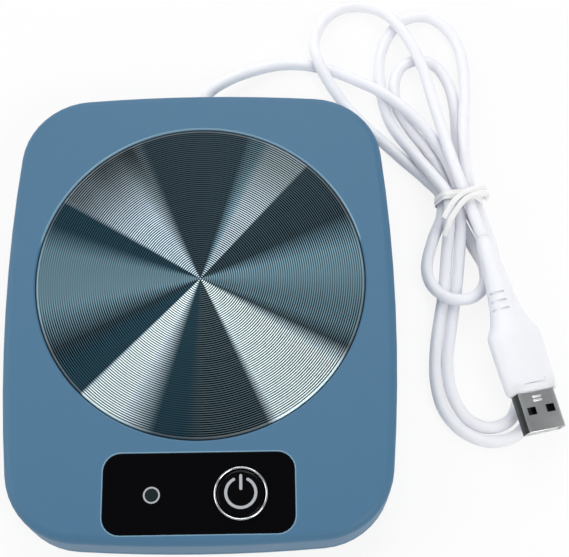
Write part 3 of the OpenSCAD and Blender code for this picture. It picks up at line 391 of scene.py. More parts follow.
def line_through(name, points, closed=False, dimensions="3D"):
    """A curve object that runs straight from point to point."""
    curve = bpy.data.curves.new(name, "CURVE")
    curve.dimensions = dimensions
    spline = curve.splines.new("POLY")
    spline.points.add(len(points) - 1)
    for point, place in zip(spline.points, points):
        point.co = (*place, 1)
    spline.use_cyclic_u = closed
    obj = bpy.data.objects.new(name, curve)
    bpy.context.scene.collection.objects.link(obj)
    return obj


def drawn_along(name, path, profile, closed=False):
    """A mesh strip with the given section, drawn along a path, both in metres."""
    section = line_through(name + "_section", [(u, v, 0) for u, v in profile], closed=True, dimensions="2D")
    strip = line_through(name, path, closed)
    strip.data.bevel_mode, strip.data.bevel_object = "OBJECT", section
    strip.data.use_fill_caps = not closed
    strip.data.twist_mode = "MINIMUM" if closed else "Z_UP"
    select_only(strip)
    bpy.ops.object.convert(target="MESH")
    strip = bpy.context.active_object
    bpy.data.objects.remove(section)
    bpy.ops.object.mode_set(mode="EDIT")
    bpy.ops.mesh.select_all(action="SELECT")
    bpy.ops.mesh.remove_doubles(threshold=1e-6)
    bpy.ops.mesh.normals_make_consistent(inside=False)
    bpy.ops.object.mode_set(mode="OBJECT")
    bpy.ops.object.shade_smooth_by_angle(angle=math.radians(40))
    return strip


def smooth_line(points, steps):
    """A smooth line through the points, by centripetal Catmull-Rom."""
    points = [Vector(p) for p in points]
    points = [2 * points[0] - points[1]] + points + [2 * points[-1] - points[-2]]
    line = []
    for i in range(1, len(points) - 2):
        p = points[i - 1:i + 3]
        t = [0.0]
        for a, b in zip(p, p[1:]):
            t.append(t[-1] + math.sqrt((b - a).length))
        for k in range(steps):
            u = t[1] + (t[2] - t[1]) * k / steps

            def between(a, b, ta, tb):
                return a * ((tb - u) / (tb - ta)) + b * ((u - ta) / (tb - ta))

            a = [between(p[j], p[j + 1], t[j], t[j + 1]) for j in range(3)]
            b = [between(a[j], a[j + 1], t[j], t[j + 2]) for j in range(2)]
            line.append(between(b[0], b[1], t[1], t[2]))
    return line + [points[-2]]


# -------------------- finishes

def painted_recess_highlight(material, tone):
    """Paints a fine paler line on the edge of the recess that the control panel lies in: a painted highlight
    where that edge catches the light.
    """
    tree = material.node_tree
    shader = next(node for node in tree.nodes if node.type == "BSDF_PRINCIPLED")
    middle, half = (PANEL_LOW + PANEL_HIGH) / 2, (PANEL_HIGH - PANEL_LOW) / 2
    axes = place_from(tree, middle)[1]
    past = []
    for k in (0, 1):
        aside = add(tree, "Math", [axes[k]], operation="ABSOLUTE")
        beyond = add(tree, "Math", [aside, half[k] - PANEL_ROUND], operation="SUBTRACT")
        past.append(add(tree, "Math", [beyond, 0.0], operation="MAXIMUM"))
    near = within(tree, length_of(tree, *past), PANEL_ROUND + PANEL_GAP + RECESS_HIGHLIGHT)
    above = add(tree, "Math", [axes["Z"], PANEL_LOW.z], operation="GREATER_THAN")
    line = add(tree, "Math", [near, above], operation="MULTIPLY")
    plain = shader.inputs["Base Color"].links[0].from_socket
    mixed = add(tree, "Mix", {0: line, 6: plain, 7: tone}, data_type="RGBA")
    connect(shader, {"Base Color": mixed.outputs[COLOUR]})


def length_of(tree, x, y):
    """The length of a flat vector."""
    squares = add(tree, "Math", [x, x, add(tree, "Math", [y, y], operation="MULTIPLY")], operation="MULTIPLY_ADD")
    return add(tree, "Math", [squares], operation="SQRT")


def distance_from(tree, centre):
    """X, Y and the distance from an upright axis through the centre."""
    axes = place_from(tree, centre)[1]
    return axes["X"], axes["Y"], length_of(tree, axes["X"], axes["Y"])


def soft_pvc(name, code, roughness):
    # Soft PVC, extruded or moulded: satin, hardly any grain, and light goes a little way into it
    return finish(name, code, roughness=roughness, grain=0.5, variation=0.015, bump=0.06, Specular_IOR_Level=0.4,
                  Subsurface_Weight=0.6, Subsurface_Radius=(1.0, 1.0, 1.0), Subsurface_Scale=2.0 * MM)


def turned_plate(plate):
    # Anodised aluminium, face turned: fine concentric grooves whose reflection is painted into the colour as
    # sectors round the centre, each line a painted highlight a little brighter or darker than its neighbours, and
    # a painted highlight on the bevel
    material, tree, shader = principled("turned anodised aluminium", Metallic=1.0, Anisotropic=0.6)
    place, axes = place_from(tree, (0, PLATE_Y))
    radius = length_of(tree, axes["X"], axes["Y"])
    around = add(tree, "Math", [axes["Y"], axes["X"]], operation="ARCTAN2")
    turn = add(tree, "Math", [around, 0.5 / math.pi, 0.5], operation="MULTIPLY_ADD")
    sectors = by_angle(tree, turn, [(angle, tuple(getattr(plate, name))) for angle, name in PAINTED_REFLECTION_SECTORS])
    contrast, fading = (by_angle(tree, turn, [(angle, grey(value)) for angle, value in stops])
                        for stops in (PAINTED_GROOVE_LINES, PAINTED_RIM_SHADE))
    # Painted shade: the pale sectors keep their tone near the centre and are painted darker towards the rim,
    # losing most of it there
    loss = add(tree, "MapRange", {"Value": radius, "From Min": FADE_FROM, "From Max": PLATE_R, "To Min": 0.0,
                                  "To Max": -FADE_LOSS}, interpolation_type="SMOOTHSTEP")
    fade = add(tree, "Math", [fading, loss, 1.0], operation="MULTIPLY_ADD")
    phase = add(tree, "Math", [radius, 2 * math.pi / plate.groove], operation="MULTIPLY")
    wave = add(tree, "Math", [phase], operation="SINE")
    # Each groove is painted as a narrow bright line, a painted highlight, and its lit share is chosen so that the
    # mean stays as it is
    lit = add(tree, "Math", [wave, LINE_STEEPNESS], operation="MULTIPLY", use_clamp=True)
    line = add(tree, "Math", [lit, 1 / LIT_SHARE, -1.0], operation="MULTIPLY_ADD")
    count = add(tree, "Math", [radius, 1 / plate.groove], operation="MULTIPLY")
    uneven = add(tree, "TexNoise", {"W": count, "Scale": 1.0, "Detail": 1.0}, noise_dimensions="1D")
    swing = add(tree, "Math", [uneven, *UNEVEN_LINES], operation="MULTIPLY_ADD")
    uneven_line = add(tree, "Math", [line, swing], operation="MULTIPLY")
    shown = add(tree, "Math", [uneven_line, contrast], operation="MULTIPLY")
    flat = add(tree, "Math", [radius, PLATE_R - BEVEL], operation="LESS_THAN")
    amount = add(tree, "Math", [shown, flat, 1.0], operation="MULTIPLY_ADD")
    shade = add(tree, "Math", [amount, 0.0], operation="MAXIMUM")
    edge = add(tree, "Math", [1.0, flat], operation="SUBTRACT")
    gain = add(tree, "Math", [edge, BEVEL_HIGHLIGHT_GAIN, shade], operation="MULTIPLY_ADD")
    scale = add(tree, "Math", [gain, fade], operation="MULTIPLY")
    face = add(tree, "VectorMath", {0: sectors, "Scale": scale}, operation="SCALE")
    # The bevel gets a painted highlight: its tone is scaled up and a paler amount is added
    paler = add(tree, "Math", [edge, BEVEL_HIGHLIGHT_LIFT], operation="MULTIPLY")
    tone = add(tree, "VectorMath", [face, paler], operation="ADD")
    rough = add(tree, "Math", [flat, FACE_ROUGHNESS - BEVEL_ROUGHNESS, BEVEL_ROUGHNESS], operation="MULTIPLY_ADD")
    # The grooves run round the centre, so the reflection is drawn out along the radius
    radial = add(tree, "VectorMath", [place, (1, 1, 0)], operation="MULTIPLY")
    height = add(tree, "Math", [wave, flat], operation="MULTIPLY")
    lift = add(tree, "Bump", {"Height": height, "Strength": 0.2, "Distance": GRAIN_DEPTH})
    connect(shader, {"Base Color": tone, "Roughness": rough, "Tangent": radial, "Normal": lift})
    return material


# Where each painted reflection tone of the turned plate lies, in degrees anticlockwise from the right
PAINTED_REFLECTION_SECTORS = [
    (2, "middle"), (12, "middle"), (25, "dark"), (48, "dark"), (49.2, "hazy"), (63, "hazy"), (67, "middle"),
    (73, "dark"), (112, "dark"), (124, "pale"), (147, "pale"), (148.5, "deep"), (158, "deep"), (168, "middle"),
    (191, "middle"), (207, "dark"), (214, "deep"), (225, "deep"), (226.5, "bright"), (241, "bright"),
    (254, "deep"), (265, "deep"), (270, "dim"), (288, "dim"), (294, "dim"), (298, "bright"), (326, "bright"),
    (333, "dim"), (340, "slate"), (348, "slate"),
]
# How strongly the grooves' painted highlight lines show, at the same kind of places
PAINTED_GROOVE_LINES = [
    (0, 0.35), (12, 0.7), (20, 1.0), (48, 1.0), (62, 1.0), (70, 1.0), (78, 0.6), (108, 0.65), (114, 1.0),
    (147, 1.0), (150, 0.75), (164, 0.55), (174, 0.2), (180, 0.08), (186, 0.2), (198, 0.9), (212, 1.0),
    (222, 0.4), (226, 0.85), (250, 0.9), (258, 0.2), (265, 0.4), (272, 1.0), (290, 1.0), (297, 0.85),
    (332, 1.0), (344, 0.85), (354, 0.5),
]
# How much each place takes part in the painted shade that fades the two paler sectors towards the rim
PAINTED_RIM_SHADE = [
    (47.5, 0), (49, 0.6), (68, 0.65), (73, 0), (112, 0), (117, 1), (131, 1), (138, 0.88), (147.3, 0.86),
    (148.5, 0),
]
# The painted shade towards the rim: the radius at which it starts, and the share of the tone that it takes at the
# rim
FADE_FROM = 20 * MM
FADE_LOSS = 0.87
# The painted highlight lines: how steep they rise, the share of a groove's width that is lit, and how much their
# strength swings and from what
LINE_STEEPNESS = 2.0
LIT_SHARE = 0.42
UNEVEN_LINES = (0.3, 0.8)
# The bevel's painted highlight: how much brighter it is than the face beside it, by a share and by an even amount
BEVEL_HIGHLIGHT_GAIN = 0.9
BEVEL_HIGHLIGHT_LIFT = 0.1
FACE_ROUGHNESS, BEVEL_ROUGHNESS = 0.42, 0.6


def by_angle(tree, turn, stops):
    """A ramp round the plate, from stops as (degrees, colour); its two ends meet at 180 degrees."""
    placed = sorted((((angle + 180) % 360) / 360, value) for angle, value in stops)
    first, last = placed[0], placed[-1]
    share = (1 - last[0]) / (first[0] + 1 - last[0])
    seam = tuple(a + (b - a) * share for a, b in zip(last[1], first[1]))
    ramp = add(tree, "ValToRGB", [turn])
    fill_ramp(ramp.color_ramp, [(0.0, seam), *placed, (1.0, seam)])
    return ramp


def printed_gloss(name, tone, ink, marks, roughness=0.06):
    # Gloss black acrylic or ABS with a screen print: deep colour, a clean reflection, matt ink
    material, tree, shader = principled(name, Specular_IOR_Level=0.14)
    mask = marks(tree)
    place = add(tree, "TexCoord").outputs["Object"]
    fine = add(tree, "TexNoise", {"Vector": place, "Scale": 0.9 / MM, "Detail": 2.0})
    mixed = add(tree, "Mix", {0: mask, 6: tone, 7: ink}, data_type="RGBA")
    handled = add(tree, "Math", [fine, 0.03, roughness], operation="MULTIPLY_ADD")
    rough = add(tree, "Math", [mask, 0.45, handled], operation="MULTIPLY_ADD")
    lift = add(tree, "Bump", {"Height": mask, "Strength": 0.3, "Distance": 0.01 * MM})
    connect(shader, {"Base Color": mixed.outputs[COLOUR], "Roughness": rough, "Normal": lift})
    return material


def within(tree, value, limit):
    """One where the value is below the limit, with a soft edge a few hundredths of a millimetre wide."""
    soft = 0.04 * MM
    return add(tree, "MapRange", {"Value": value, "From Min": limit - soft, "From Max": limit + soft,
                                  "To Min": 1.0, "To Max": 0.0})


def printed_ring(tree, radius, middle, line):
    off = add(tree, "Math", [radius, middle], operation="SUBTRACT")
    return within(tree, add(tree, "Math", [off], operation="ABSOLUTE"), line / 2)


def printed_line(tree, x, y, low, high, line):
    """An upright line with round ends, from low to high; with low equal to high it is a dot."""
    off = add(tree, "Math", [y, add(tree, "Clamp", [y, low, high])], operation="SUBTRACT")
    return within(tree, length_of(tree, x, off), line / 2)


def lamp_ring(tree):
    """The printed ring round the lamp."""
    middle, line = LAMP_RING
    return printed_ring(tree, distance_from(tree, LENS)[2], middle * MM, line * MM)


def power_symbol(tree):
    """The printed power symbol: an arc that is open at the back, and a bar."""
    values = settings().controls
    x, y, radius = distance_from(tree, (BUTTON.x, BUTTON.y + SYMBOL_BACK * MM))
    middle, gap = values.symbol - values.line / 2, math.radians(SYMBOL_OPEN)
    from_back = add(tree, "Math", [add(tree, "Math", [x, y], operation="ARCTAN2")], operation="ABSOLUTE")
    wide = add(tree, "Math", [from_back, gap], operation="GREATER_THAN")
    arc = add(tree, "Math", [printed_ring(tree, radius, middle, values.line), wide], operation="MULTIPLY")
    across = add(tree, "Math", [x], operation="ABSOLUTE")
    aside = add(tree, "Math", [across, middle * math.sin(gap)], operation="SUBTRACT")
    end = middle * math.cos(gap)
    ends = printed_line(tree, aside, y, end, end, values.line)
    bar = printed_line(tree, x, y, SYMBOL_BAR[0] * MM, SYMBOL_BAR[1] * MM, values.line)
    marks = add(tree, "Math", [arc, ends], operation="MAXIMUM")
    return add(tree, "Math", [marks, bar], operation="MAXIMUM")


# -------------------- operators

# The camera: its place in metres, its elevation, azimuth and roll in degrees, and its lens in millimetres
CAMERA_AT = (0.023449, -0.126428, 0.382397)
CAMERA_TURN = (69.702, -0.3625, -0.5038)
CAMERA_LENS = 84.915
# The floor lies just below the feet
FLOOR_DROP = 0.02 * MM
# The tent's light by height: bright low down, darker above
TENT = ((0.0, 1.0), (0.35, 0.75), (0.75, 0.28), (1.0, 0.16))


class MUGWARMER_OT_stage(bpy.types.Operator):
    """Add the camera, the lamps and the pale floor"""
    bl_idname = "mug_warmer.stage"
    bl_label = "Stage"

    def execute(self, context):
        stage = settings().stage
        self.camera(context)
        self.lamps(stage)
        self.floor(stage)
        self.sky(context, stage)
        context.scene.view_settings.view_transform = "Standard"
        return {"FINISHED"}

    def camera(self, context):
        elevation, azimuth, roll = (math.radians(angle) for angle in CAMERA_TURN)
        back = Vector((math.sin(azimuth) * math.cos(elevation), -math.cos(azimuth) * math.cos(elevation),
                       math.sin(elevation)))
        level = Vector((0, 0, 1)).cross(back).normalized()
        raised = back.cross(level)
        right = level * math.cos(roll) + raised * math.sin(roll)
        up = raised * math.cos(roll) - level * math.sin(roll)
        data = bpy.data.cameras.new("camera")
        data.lens, data.sensor_width, data.sensor_fit = CAMERA_LENS, 36, "HORIZONTAL"
        data.clip_start, data.clip_end = 0.01, 50
        camera = bpy.data.objects.new("camera", data)
        turned = Matrix((right, up, back)).transposed().to_4x4()
        camera.matrix_world = Matrix.Translation(CAMERA_AT) @ turned
        context.scene.collection.objects.link(camera)
        context.scene.camera = camera

    def lamps(self, stage):
        """White lamps aimed at the middle of the object: name, place and size in metres, and power."""
        middle = Vector((0.02, 0.01, 0.0))
        for name, place, size, power in (
                ("key", (0.55, -0.55, 0.75), (0.5, 0.5), stage.key_level),
                ("fill", (-0.75, 0.1, 0.6), (0.6, 0.6), stage.fill_level),
                ("back", (0.1, 0.95, 0.7), (0.7, 0.4), stage.fill_level),
                ("top", (0.02, 0.62, 1.15), (0.7, 0.35), stage.top_level)):
            data = bpy.data.lights.new(name, "AREA")
            data.shape, data.size, data.size_y = "RECTANGLE", *size
            data.energy = power
            lamp = bpy.data.objects.new(name, data)
            lamp.location = place
            lamp.rotation_euler = (Vector(place) - middle).to_track_quat("Z", "Y").to_euler()
            bpy.context.scene.collection.objects.link(lamp)

    def floor(self, stage):
        select_none()
        bpy.ops.mesh.primitive_plane_add(size=stage.floor_size, location=(0, 0, -FLOOR_DROP))
        floor = bpy.context.active_object
        floor.name = "floor"
        bpy.ops.object.transform_apply(location=True, rotation=True, scale=True)
        material = bpy.data.materials.new("white studio floor")
        tree = empty_tree(material)
        # A white sweep: it shows white where it is lit and keeps a part of each shadow
        lit = add(tree, "BsdfDiffuse", {"Color": colour("#F4F4F4")})
        own = add(tree, "Emission", {"Color": grey(1.0), "Strength": 1.0})
        path = add(tree, "LightPath").outputs
        mirrored = add(tree, "Math", [path["Is Glossy Ray"], path["Is Transmission Ray"]], operation="MAXIMUM")
        seen = add(tree, "Math", [path["Is Camera Ray"], mirrored], operation="MAXIMUM")
        share = add(tree, "Math", [seen, stage.floor_white], operation="MULTIPLY")
        add(tree, "OutputMaterial", {"Surface": add(tree, "MixShader", [share, lit, own])})
        give(floor, material)

    def sky(self, context, stage):
        world = bpy.data.worlds.new("studio sky")
        tree = empty_tree(world)
        # A pale tent, and plain white where the camera sees it
        height = add(tree, "SeparateXYZ", [add(tree, "TexCoord").outputs["Generated"]]).outputs["Z"]
        tent = add(tree, "ValToRGB", [height])
        fill_ramp(tent.color_ramp, [(place, grey(level)) for place, level in TENT])
        level = add(tree, "Math", [tent, stage.sky_level], operation="MULTIPLY")
        seen = add(tree, "LightPath").outputs["Is Camera Ray"]
        strength = add(tree, "Mix", {0: seen, 2: level, 3: 1.0}, data_type="FLOAT")
        light = add(tree, "Background", {"Color": grey(1.0), "Strength": strength})
        add(tree, "OutputWorld", {"Surface": light})
        context.scene.world = world


class MUGWARMER_OT_cable(bpy.types.Operator):
    """Add the folded cable"""
    bl_idname = "mug_warmer.cable"
    bl_label = "Cable"

    def execute(self, context):
        values = settings().cable
        radius = values.diameter / 2
        line = smooth_line([Vector(p) * MM for p in CABLE_ROUTE], values.steps)
        cable = line_through("usb_cable_jacket", [(p.x, p.y, max(p.z, radius)) for p in line])
        cable.data.bevel_depth, cable.data.bevel_resolution = radius, 5
        cable.data.use_fill_caps = True
        cable.data.splines[0].use_smooth = True
        give(cable, soft_pvc("satin white PVC jacket", tuple(values.jacket_colour), 0.42))
        settle(cable, "usb_cable")
        return {"FINISHED"}


class MUGWARMER_OT_housing(bpy.types.Operator):
    """Dress the two shells of the housing"""
    bl_idname = "mug_warmer.housing"
    bl_label = "Housing"

    def execute(self, context):
        values = settings().housing
        edge = tuple(values.edge_highlight_colour)
        # ABS, injection moulded in a spark-eroded tool: even colour, a soft sheen and a very fine grain
        shell = finish("moulded blue ABS", tuple(values.shell_colour), roughness=0.5, grain=values.grain / MM,
                       variation=0.035, bump=0.18, Specular_IOR_Level=0.35)
        painted_recess_highlight(shell, edge)
        top = dressed_copy("upper_housing", "housing_top", shell, angle=25)
        # The recess's edge and the far part of the well's rim are painted paler, a painted highlight; the rim's
        # part is also smoother than the grain beside it
        top.data.materials.append(finish("moulded blue ABS edge", edge, roughness=0.3, bump=0.03, grain=0.5))
        self.paint_well_rim_highlight(top)
        flatten_shading(top)
        dressed_copy("lower_housing", "housing_base", shell, angle=25, weighted=True)
        return {"FINISHED"}

    def paint_well_rim_highlight(self, top):
        """Gives the far part of the rounded rim of the plate's well the smoother, paler finish; the paler colour
        is a painted highlight.
        """
        height = max(v.co.z for v in top.data.vertices)
        for face in top.data.polygons:
            past_plate = math.hypot(face.center.x, face.center.y - PLATE_Y) - PLATE_R
            slanted = 0.15 < face.normal.z < 0.97
            high = face.center.z > height - 0.7 * MM
            far = face.center.y > PLATE_Y + 0.25 * PLATE_R
            if 0 < past_plate < 1.2 * MM and slanted and high and far:
                face.material_index = 1


class MUGWARMER_OT_plate(bpy.types.Operator):
    """Dress the heating plate and its seal"""
    bl_idname = "mug_warmer.plate"
    bl_label = "Heating plate"

    def execute(self, context):
        plate = dressed_copy("heating_plate", "turned_plate", turned_plate(settings().plate), angle=20)
        round_edges(plate, 0.25 * MM, 3)
        flatten_shading(plate)
        # Moulded silicone: matt and soft
        give(frame["nodes"]["plate_seal"], finish("moulded grey silicone", "#1F2A30", roughness=0.7, grain=0.5))
        return {"FINISHED"}


class MUGWARMER_OT_controls(bpy.types.Operator):
    """Dress the control panel, the lamp, the button and its ring"""
    bl_idname = "mug_warmer.controls"
    bl_label = "Panel, lamp and button"

    def execute(self, context):
        values = settings().controls
        gloss, ink = tuple(values.panel_colour), tuple(values.print_colour)
        panel = printed_gloss("printed gloss acrylic", gloss, ink, lamp_ring)
        dressed_copy("control_panel", "gloss_panel", panel, angle=20, weighted=True)
        cap = printed_gloss("printed gloss ABS", gloss, ink, power_symbol, 0.12)
        dressed_copy("power_button", "power_cap", cap, weighted=True)
        # ABS, chrome plated: bright and smooth, hardly any texture
        chrome = finish("chrome plated ABS", tuple(values.chrome_colour), roughness=0.1, metallic=1.0, grain=1.5,
                        variation=0.02, bump=0.02)
        ring = dressed_copy("button_bezel", "chrome_ring", chrome)
        round_edges(ring, 0.12 * MM, 3)
        flatten_shading(ring, 50)
        # Polycarbonate light pipe, moulded and polished
        lens = finish("smoked polycarbonate", tuple(values.lens_colour), roughness=0.2, grain=0.8, bump=0.03)
        dressed_copy("indicator_lens", "lamp_window", lens)
        return {"FINISHED"}


def plug_frame():
    """From the plug's own frame, X across, Y up and Z along to its mouth, to the object's, in metres."""
    yaw, pitch, roll = (math.radians(a) for a in PLUG_TURN)
    turn = (Matrix.Rotation(yaw, 4, "Z") @ Matrix.Rotation(pitch, 4, "X") @ Matrix.Rotation(roll, 4, "Y")
            @ Matrix.Rotation(math.pi / 2, 4, "X"))
    return Matrix.Translation(Vector(PLUG_AT) * MM) @ turn


def rounded_block(name, place, size, rounding):
    """A block with rounded edges in the plug's frame, in millimetres, with its place in its mesh."""
    select_none()
    bpy.ops.mesh.primitive_cube_add(size=1)
    block = bpy.context.active_object
    block.name = name
    stretch = Matrix.Diagonal((*(v * MM for v in size), 1))
    block.matrix_world = plug_frame() @ Matrix.Translation(Vector(place) * MM) @ stretch
    bpy.ops.object.transform_apply(location=True, rotation=True, scale=True)
    bpy.ops.object.mode_set(mode="EDIT")
    bpy.ops.mesh.select_all(action="SELECT")
    bpy.ops.mesh.bevel(offset=rounding * MM, segments=3)
    bpy.ops.mesh.normals_make_consistent(inside=False)
    bpy.ops.object.mode_set(mode="OBJECT")
    bpy.ops.object.shade_smooth_by_angle(angle=math.radians(30))
    return block


def near_mouth(name, code, deeper, reach, roughness=0.3, metallic=0.0):
    """A finish with one colour within a reach in millimetres of the plug's mouth, and another one deeper in."""
    material, tree, shader = principled(name, Metallic=metallic)
    axis = plug_frame().to_3x3() @ Vector((0, 0, 1))
    mouth = (plug_frame() @ Vector((0, 0, (PLUG_LENGTH + SHELL_OUT) * MM))).dot(axis)
    place = add(tree, "TexCoord").outputs["Object"]
    along = add(tree, "VectorMath", [place, tuple(axis)], operation="DOT_PRODUCT").outputs["Value"]
    front = within(tree, add(tree, "Math", [mouth, along], operation="SUBTRACT"), reach * MM)
    mixed = add(tree, "Mix", {0: front, 6: colour(deeper), 7: colour(code)}, data_type="RGBA")
    fine = add(tree, "TexNoise", {"Vector": place, "Scale": 2.5 / MM})
    rough = add(tree, "Math", [fine, 0.1, roughness - 0.05], operation="MULTIPLY_ADD")
    lift = add(tree, "Bump", {"Height": fine, "Strength": 0.1, "Distance": 0.01 * MM})
    connect(shader, {"Base Color": mixed.outputs[COLOUR], "Roughness": rough, "Normal": lift})
    return material


class MUGWARMER_OT_plug(bpy.types.Operator):
    """Dress the plug's moulded body, its shell, tongue and contacts, and the grommet"""
    bl_idname = "mug_warmer.plug"
    bl_label = "Plug"

    def execute(self, context):
        jacket = soft_pvc("moulded white PVC", tuple(settings().cable.jacket_colour), 0.4)
        self.body(jacket)
        dressed_copy("cable_grommet", "exit_grommet", jacket)
        self.shell()
        # Nylon, moulded white; deep in the shell it is painted dark grey, a painted shade
        give(frame["nodes"]["plug_tongue"], near_mouth("moulded white nylon", "#EDEDEA", "#46474A", 3.0, 0.5))
        # Bronze contacts: nickel plated, with a gold flash where they touch the socket's springs; the nickel
        # deeper in is painted dark grey, partly a painted shade
        give(frame["nodes"]["plug_contacts"],
             near_mouth("gold flashed bronze", "#D9B45A", "#5A5B5C", 4.0, metallic=1.0))
        return {"FINISHED"}

    def body(self, jacket):
        """The moulded body: drawn out of a rounded plane, with slits in the boot and an engraved line on top."""
        select_none()
        bpy.ops.mesh.primitive_plane_add(size=1)
        body = bpy.context.active_object
        body.name = "plug_body"
        bpy.ops.object.mode_set(mode="EDIT")
        bpy.ops.mesh.select_all(action="SELECT")
        first = PLUG_STATIONS[0]
        bpy.ops.transform.resize(value=(first[1] * MM, first[2] * MM, 1), center_override=(0, 0, 0))
        bpy.ops.mesh.bevel(offset=1.8 * MM, segments=4, affect="VERTICES")
        for before, here in zip(PLUG_STATIONS, PLUG_STATIONS[1:]):
            bpy.ops.mesh.extrude_region_move(
                TRANSFORM_OT_translate={"value": (0, 0, (here[0] - before[0]) * MM)})
            bpy.ops.transform.resize(value=(here[1] / before[1], here[2] / before[2], 1),
                                     center_override=(0, 0, here[0] * MM))
        bpy.ops.mesh.inset(thickness=0.3 * MM)
        bpy.ops.mesh.select_all(action="SELECT")
        bpy.ops.mesh.normals_make_consistent(inside=False)
        bpy.ops.object.mode_set(mode="OBJECT")
        body.matrix_world = plug_frame()
        bpy.ops.object.transform_apply(location=True, rotation=True, scale=True)
        apply_modifier(body, "SUBSURF", levels=2)
        cuts = [rounded_block("socket", (0, 0, PLUG_LENGTH - 1), (SHELL_WIDE, SHELL_HIGH, 4), 0.5)]
        for along, wide, high in PLUG_SLITS:
            for side in (-1, 1):
                slit = rounded_block("slit", (-side * (wide / 4 + 0.3), side * high / 2, along),
                                     (wide / 2 + 0.4, high - 2 * SLIT_DEEP, SLIT_WIDE), 0.3)
                cut_away(slit, rounded_block("core", (0, 0, along),
                                             (wide - 2 * SLIT_DEEP, high - 2 * SLIT_DEEP, 8), 1.8))
                cuts.append(slit)
        cuts += [rounded_block("line", place, size, 0.1) for place, size in ENGRAVED_LINE]
        for cut in cuts:
            cut_away(body, cut)
        select_only(body)
        bpy.ops.object.shade_smooth_by_angle(angle=math.radians(35))
        flatten_shading(body, 50)
        give(body, jacket)
        settle(body, "plug_overmould")

    def shell(self):
        """The steel shell: fine rounded edges, two stamped bars on top with a painted highlight, sides painted
        darker as a painted reflection, and an inside painted dark as a painted shade.
        """
        # Deep drawn steel, nickel plated and lightly brushed along its length
        nickel = dict(roughness=0.32, metallic=1.0, grain=0.4, variation=0.3, bump=0.3)
        shell = dressed_copy("plug_shell", "plug_metal_shell",
                             finish("brushed nickel plated steel", "#CDD0D1", **nickel), angle=25)
        # The sides take a dark copy of the nickel finish: a painted reflection of dark surroundings
        shell.data.materials.append(finish("drawn nickel plated steel side", "#2F3332", **nickel))
        # Inside it is bright only at the mouth; deeper in it is painted dark, a painted shade
        shell.data.materials.append(near_mouth("dull steel inside", "#E2E4E4", "#1B1C1D", 2.0, 0.5, metallic=1.0))
        home = plug_frame().inverted()
        inner_x, inner_y = SHELL_WIDE / 2 - SHELL_SHEET + 0.02, SHELL_HIGH / 2 - SHELL_SHEET + 0.02
        for face in shell.data.polygons:
            place = home @ face.center / MM
            normal = (home.to_3x3() @ face.normal).normalized()
            inside = abs(place.x) < inner_x and abs(place.y) < inner_y and abs(normal.z) < 0.5
            # Faces turned to either side get the painted dark reflection, faces inside the painted shade
            side = normal.x < -0.3 or normal.x > 0.9
            face.material_index = 2 if inside else 1 if side else 0
        round_edges(shell, 0.1 * MM, 2, 40)
        # The bars are painted paler than the shell, a painted highlight
        bar_highlight = finish("burnished nickel plated steel", "#F4F5F5", roughness=0.4, metallic=1.0)
        bars = [rounded_block("stamped_bar", (-0.2, SHELL_HIGH / 2, PLUG_LENGTH + z), BAR_SIZE, 0.24)
                for z in BAR_PLACES]
        for bar in bars:
            give(bar, bar_highlight)
        join(shell, bars)
        bpy.ops.object.shade_smooth_by_angle(angle=math.radians(30))


class MUGWARMER_OT_tie(bpy.types.Operator):
    """Add the twist tie round the folded cable"""
    bl_idname = "mug_warmer.tie"
    bl_label = "Twist tie"

    def execute(self, context):
        values = settings().cable
        reach = values.diameter / 2 / MM + TIE_CLEAR
        band = []
        count = len(TIE_STRANDS)
        for k, strand in enumerate(TIE_STRANDS):
            # Round each strand, from the band's direction before it to its direction after it
            here = Vector(strand)
            before = here - Vector(TIE_STRANDS[k - 1])
            after = Vector(TIE_STRANDS[(k + 1) % count]) - here
            start = math.atan2(-before.x, before.y)
            turn = (math.atan2(-after.x, after.y) - start) % (2 * math.pi)
            for i in range(TIE_STEPS + 1):
                angle = start + turn * i / TIE_STEPS
                x, z = here.x + reach * math.cos(angle), here.y + reach * math.sin(angle)
                band.append(Vector((x, TIE_Y, z)) * MM)
        tie = drawn_along("twist_tie", band, [(u * MM, v * MM) for u, v in TIE_STRIP], closed=True)
        wide, high = (half * MM for half in TIE_END_HALF)
        flat_wire = [(wide * math.sin(a), high * math.cos(a)) for a in (math.radians(30 * k) for k in range(12))]
        join(tie, [drawn_along(f"twist_tie_end_{k}", smooth_line([Vector(p) * MM for p in points], 8), flat_wire)
                   for k, points in enumerate(TIE_ENDS)])
        # Paper and plastic laminate on a soft wire
        give(tie, finish("laminated twist tie", tuple(values.tie_colour), grain=0.5, variation=0.02))
        settle(tie, "cable_tie")
        return {"FINISHED"}


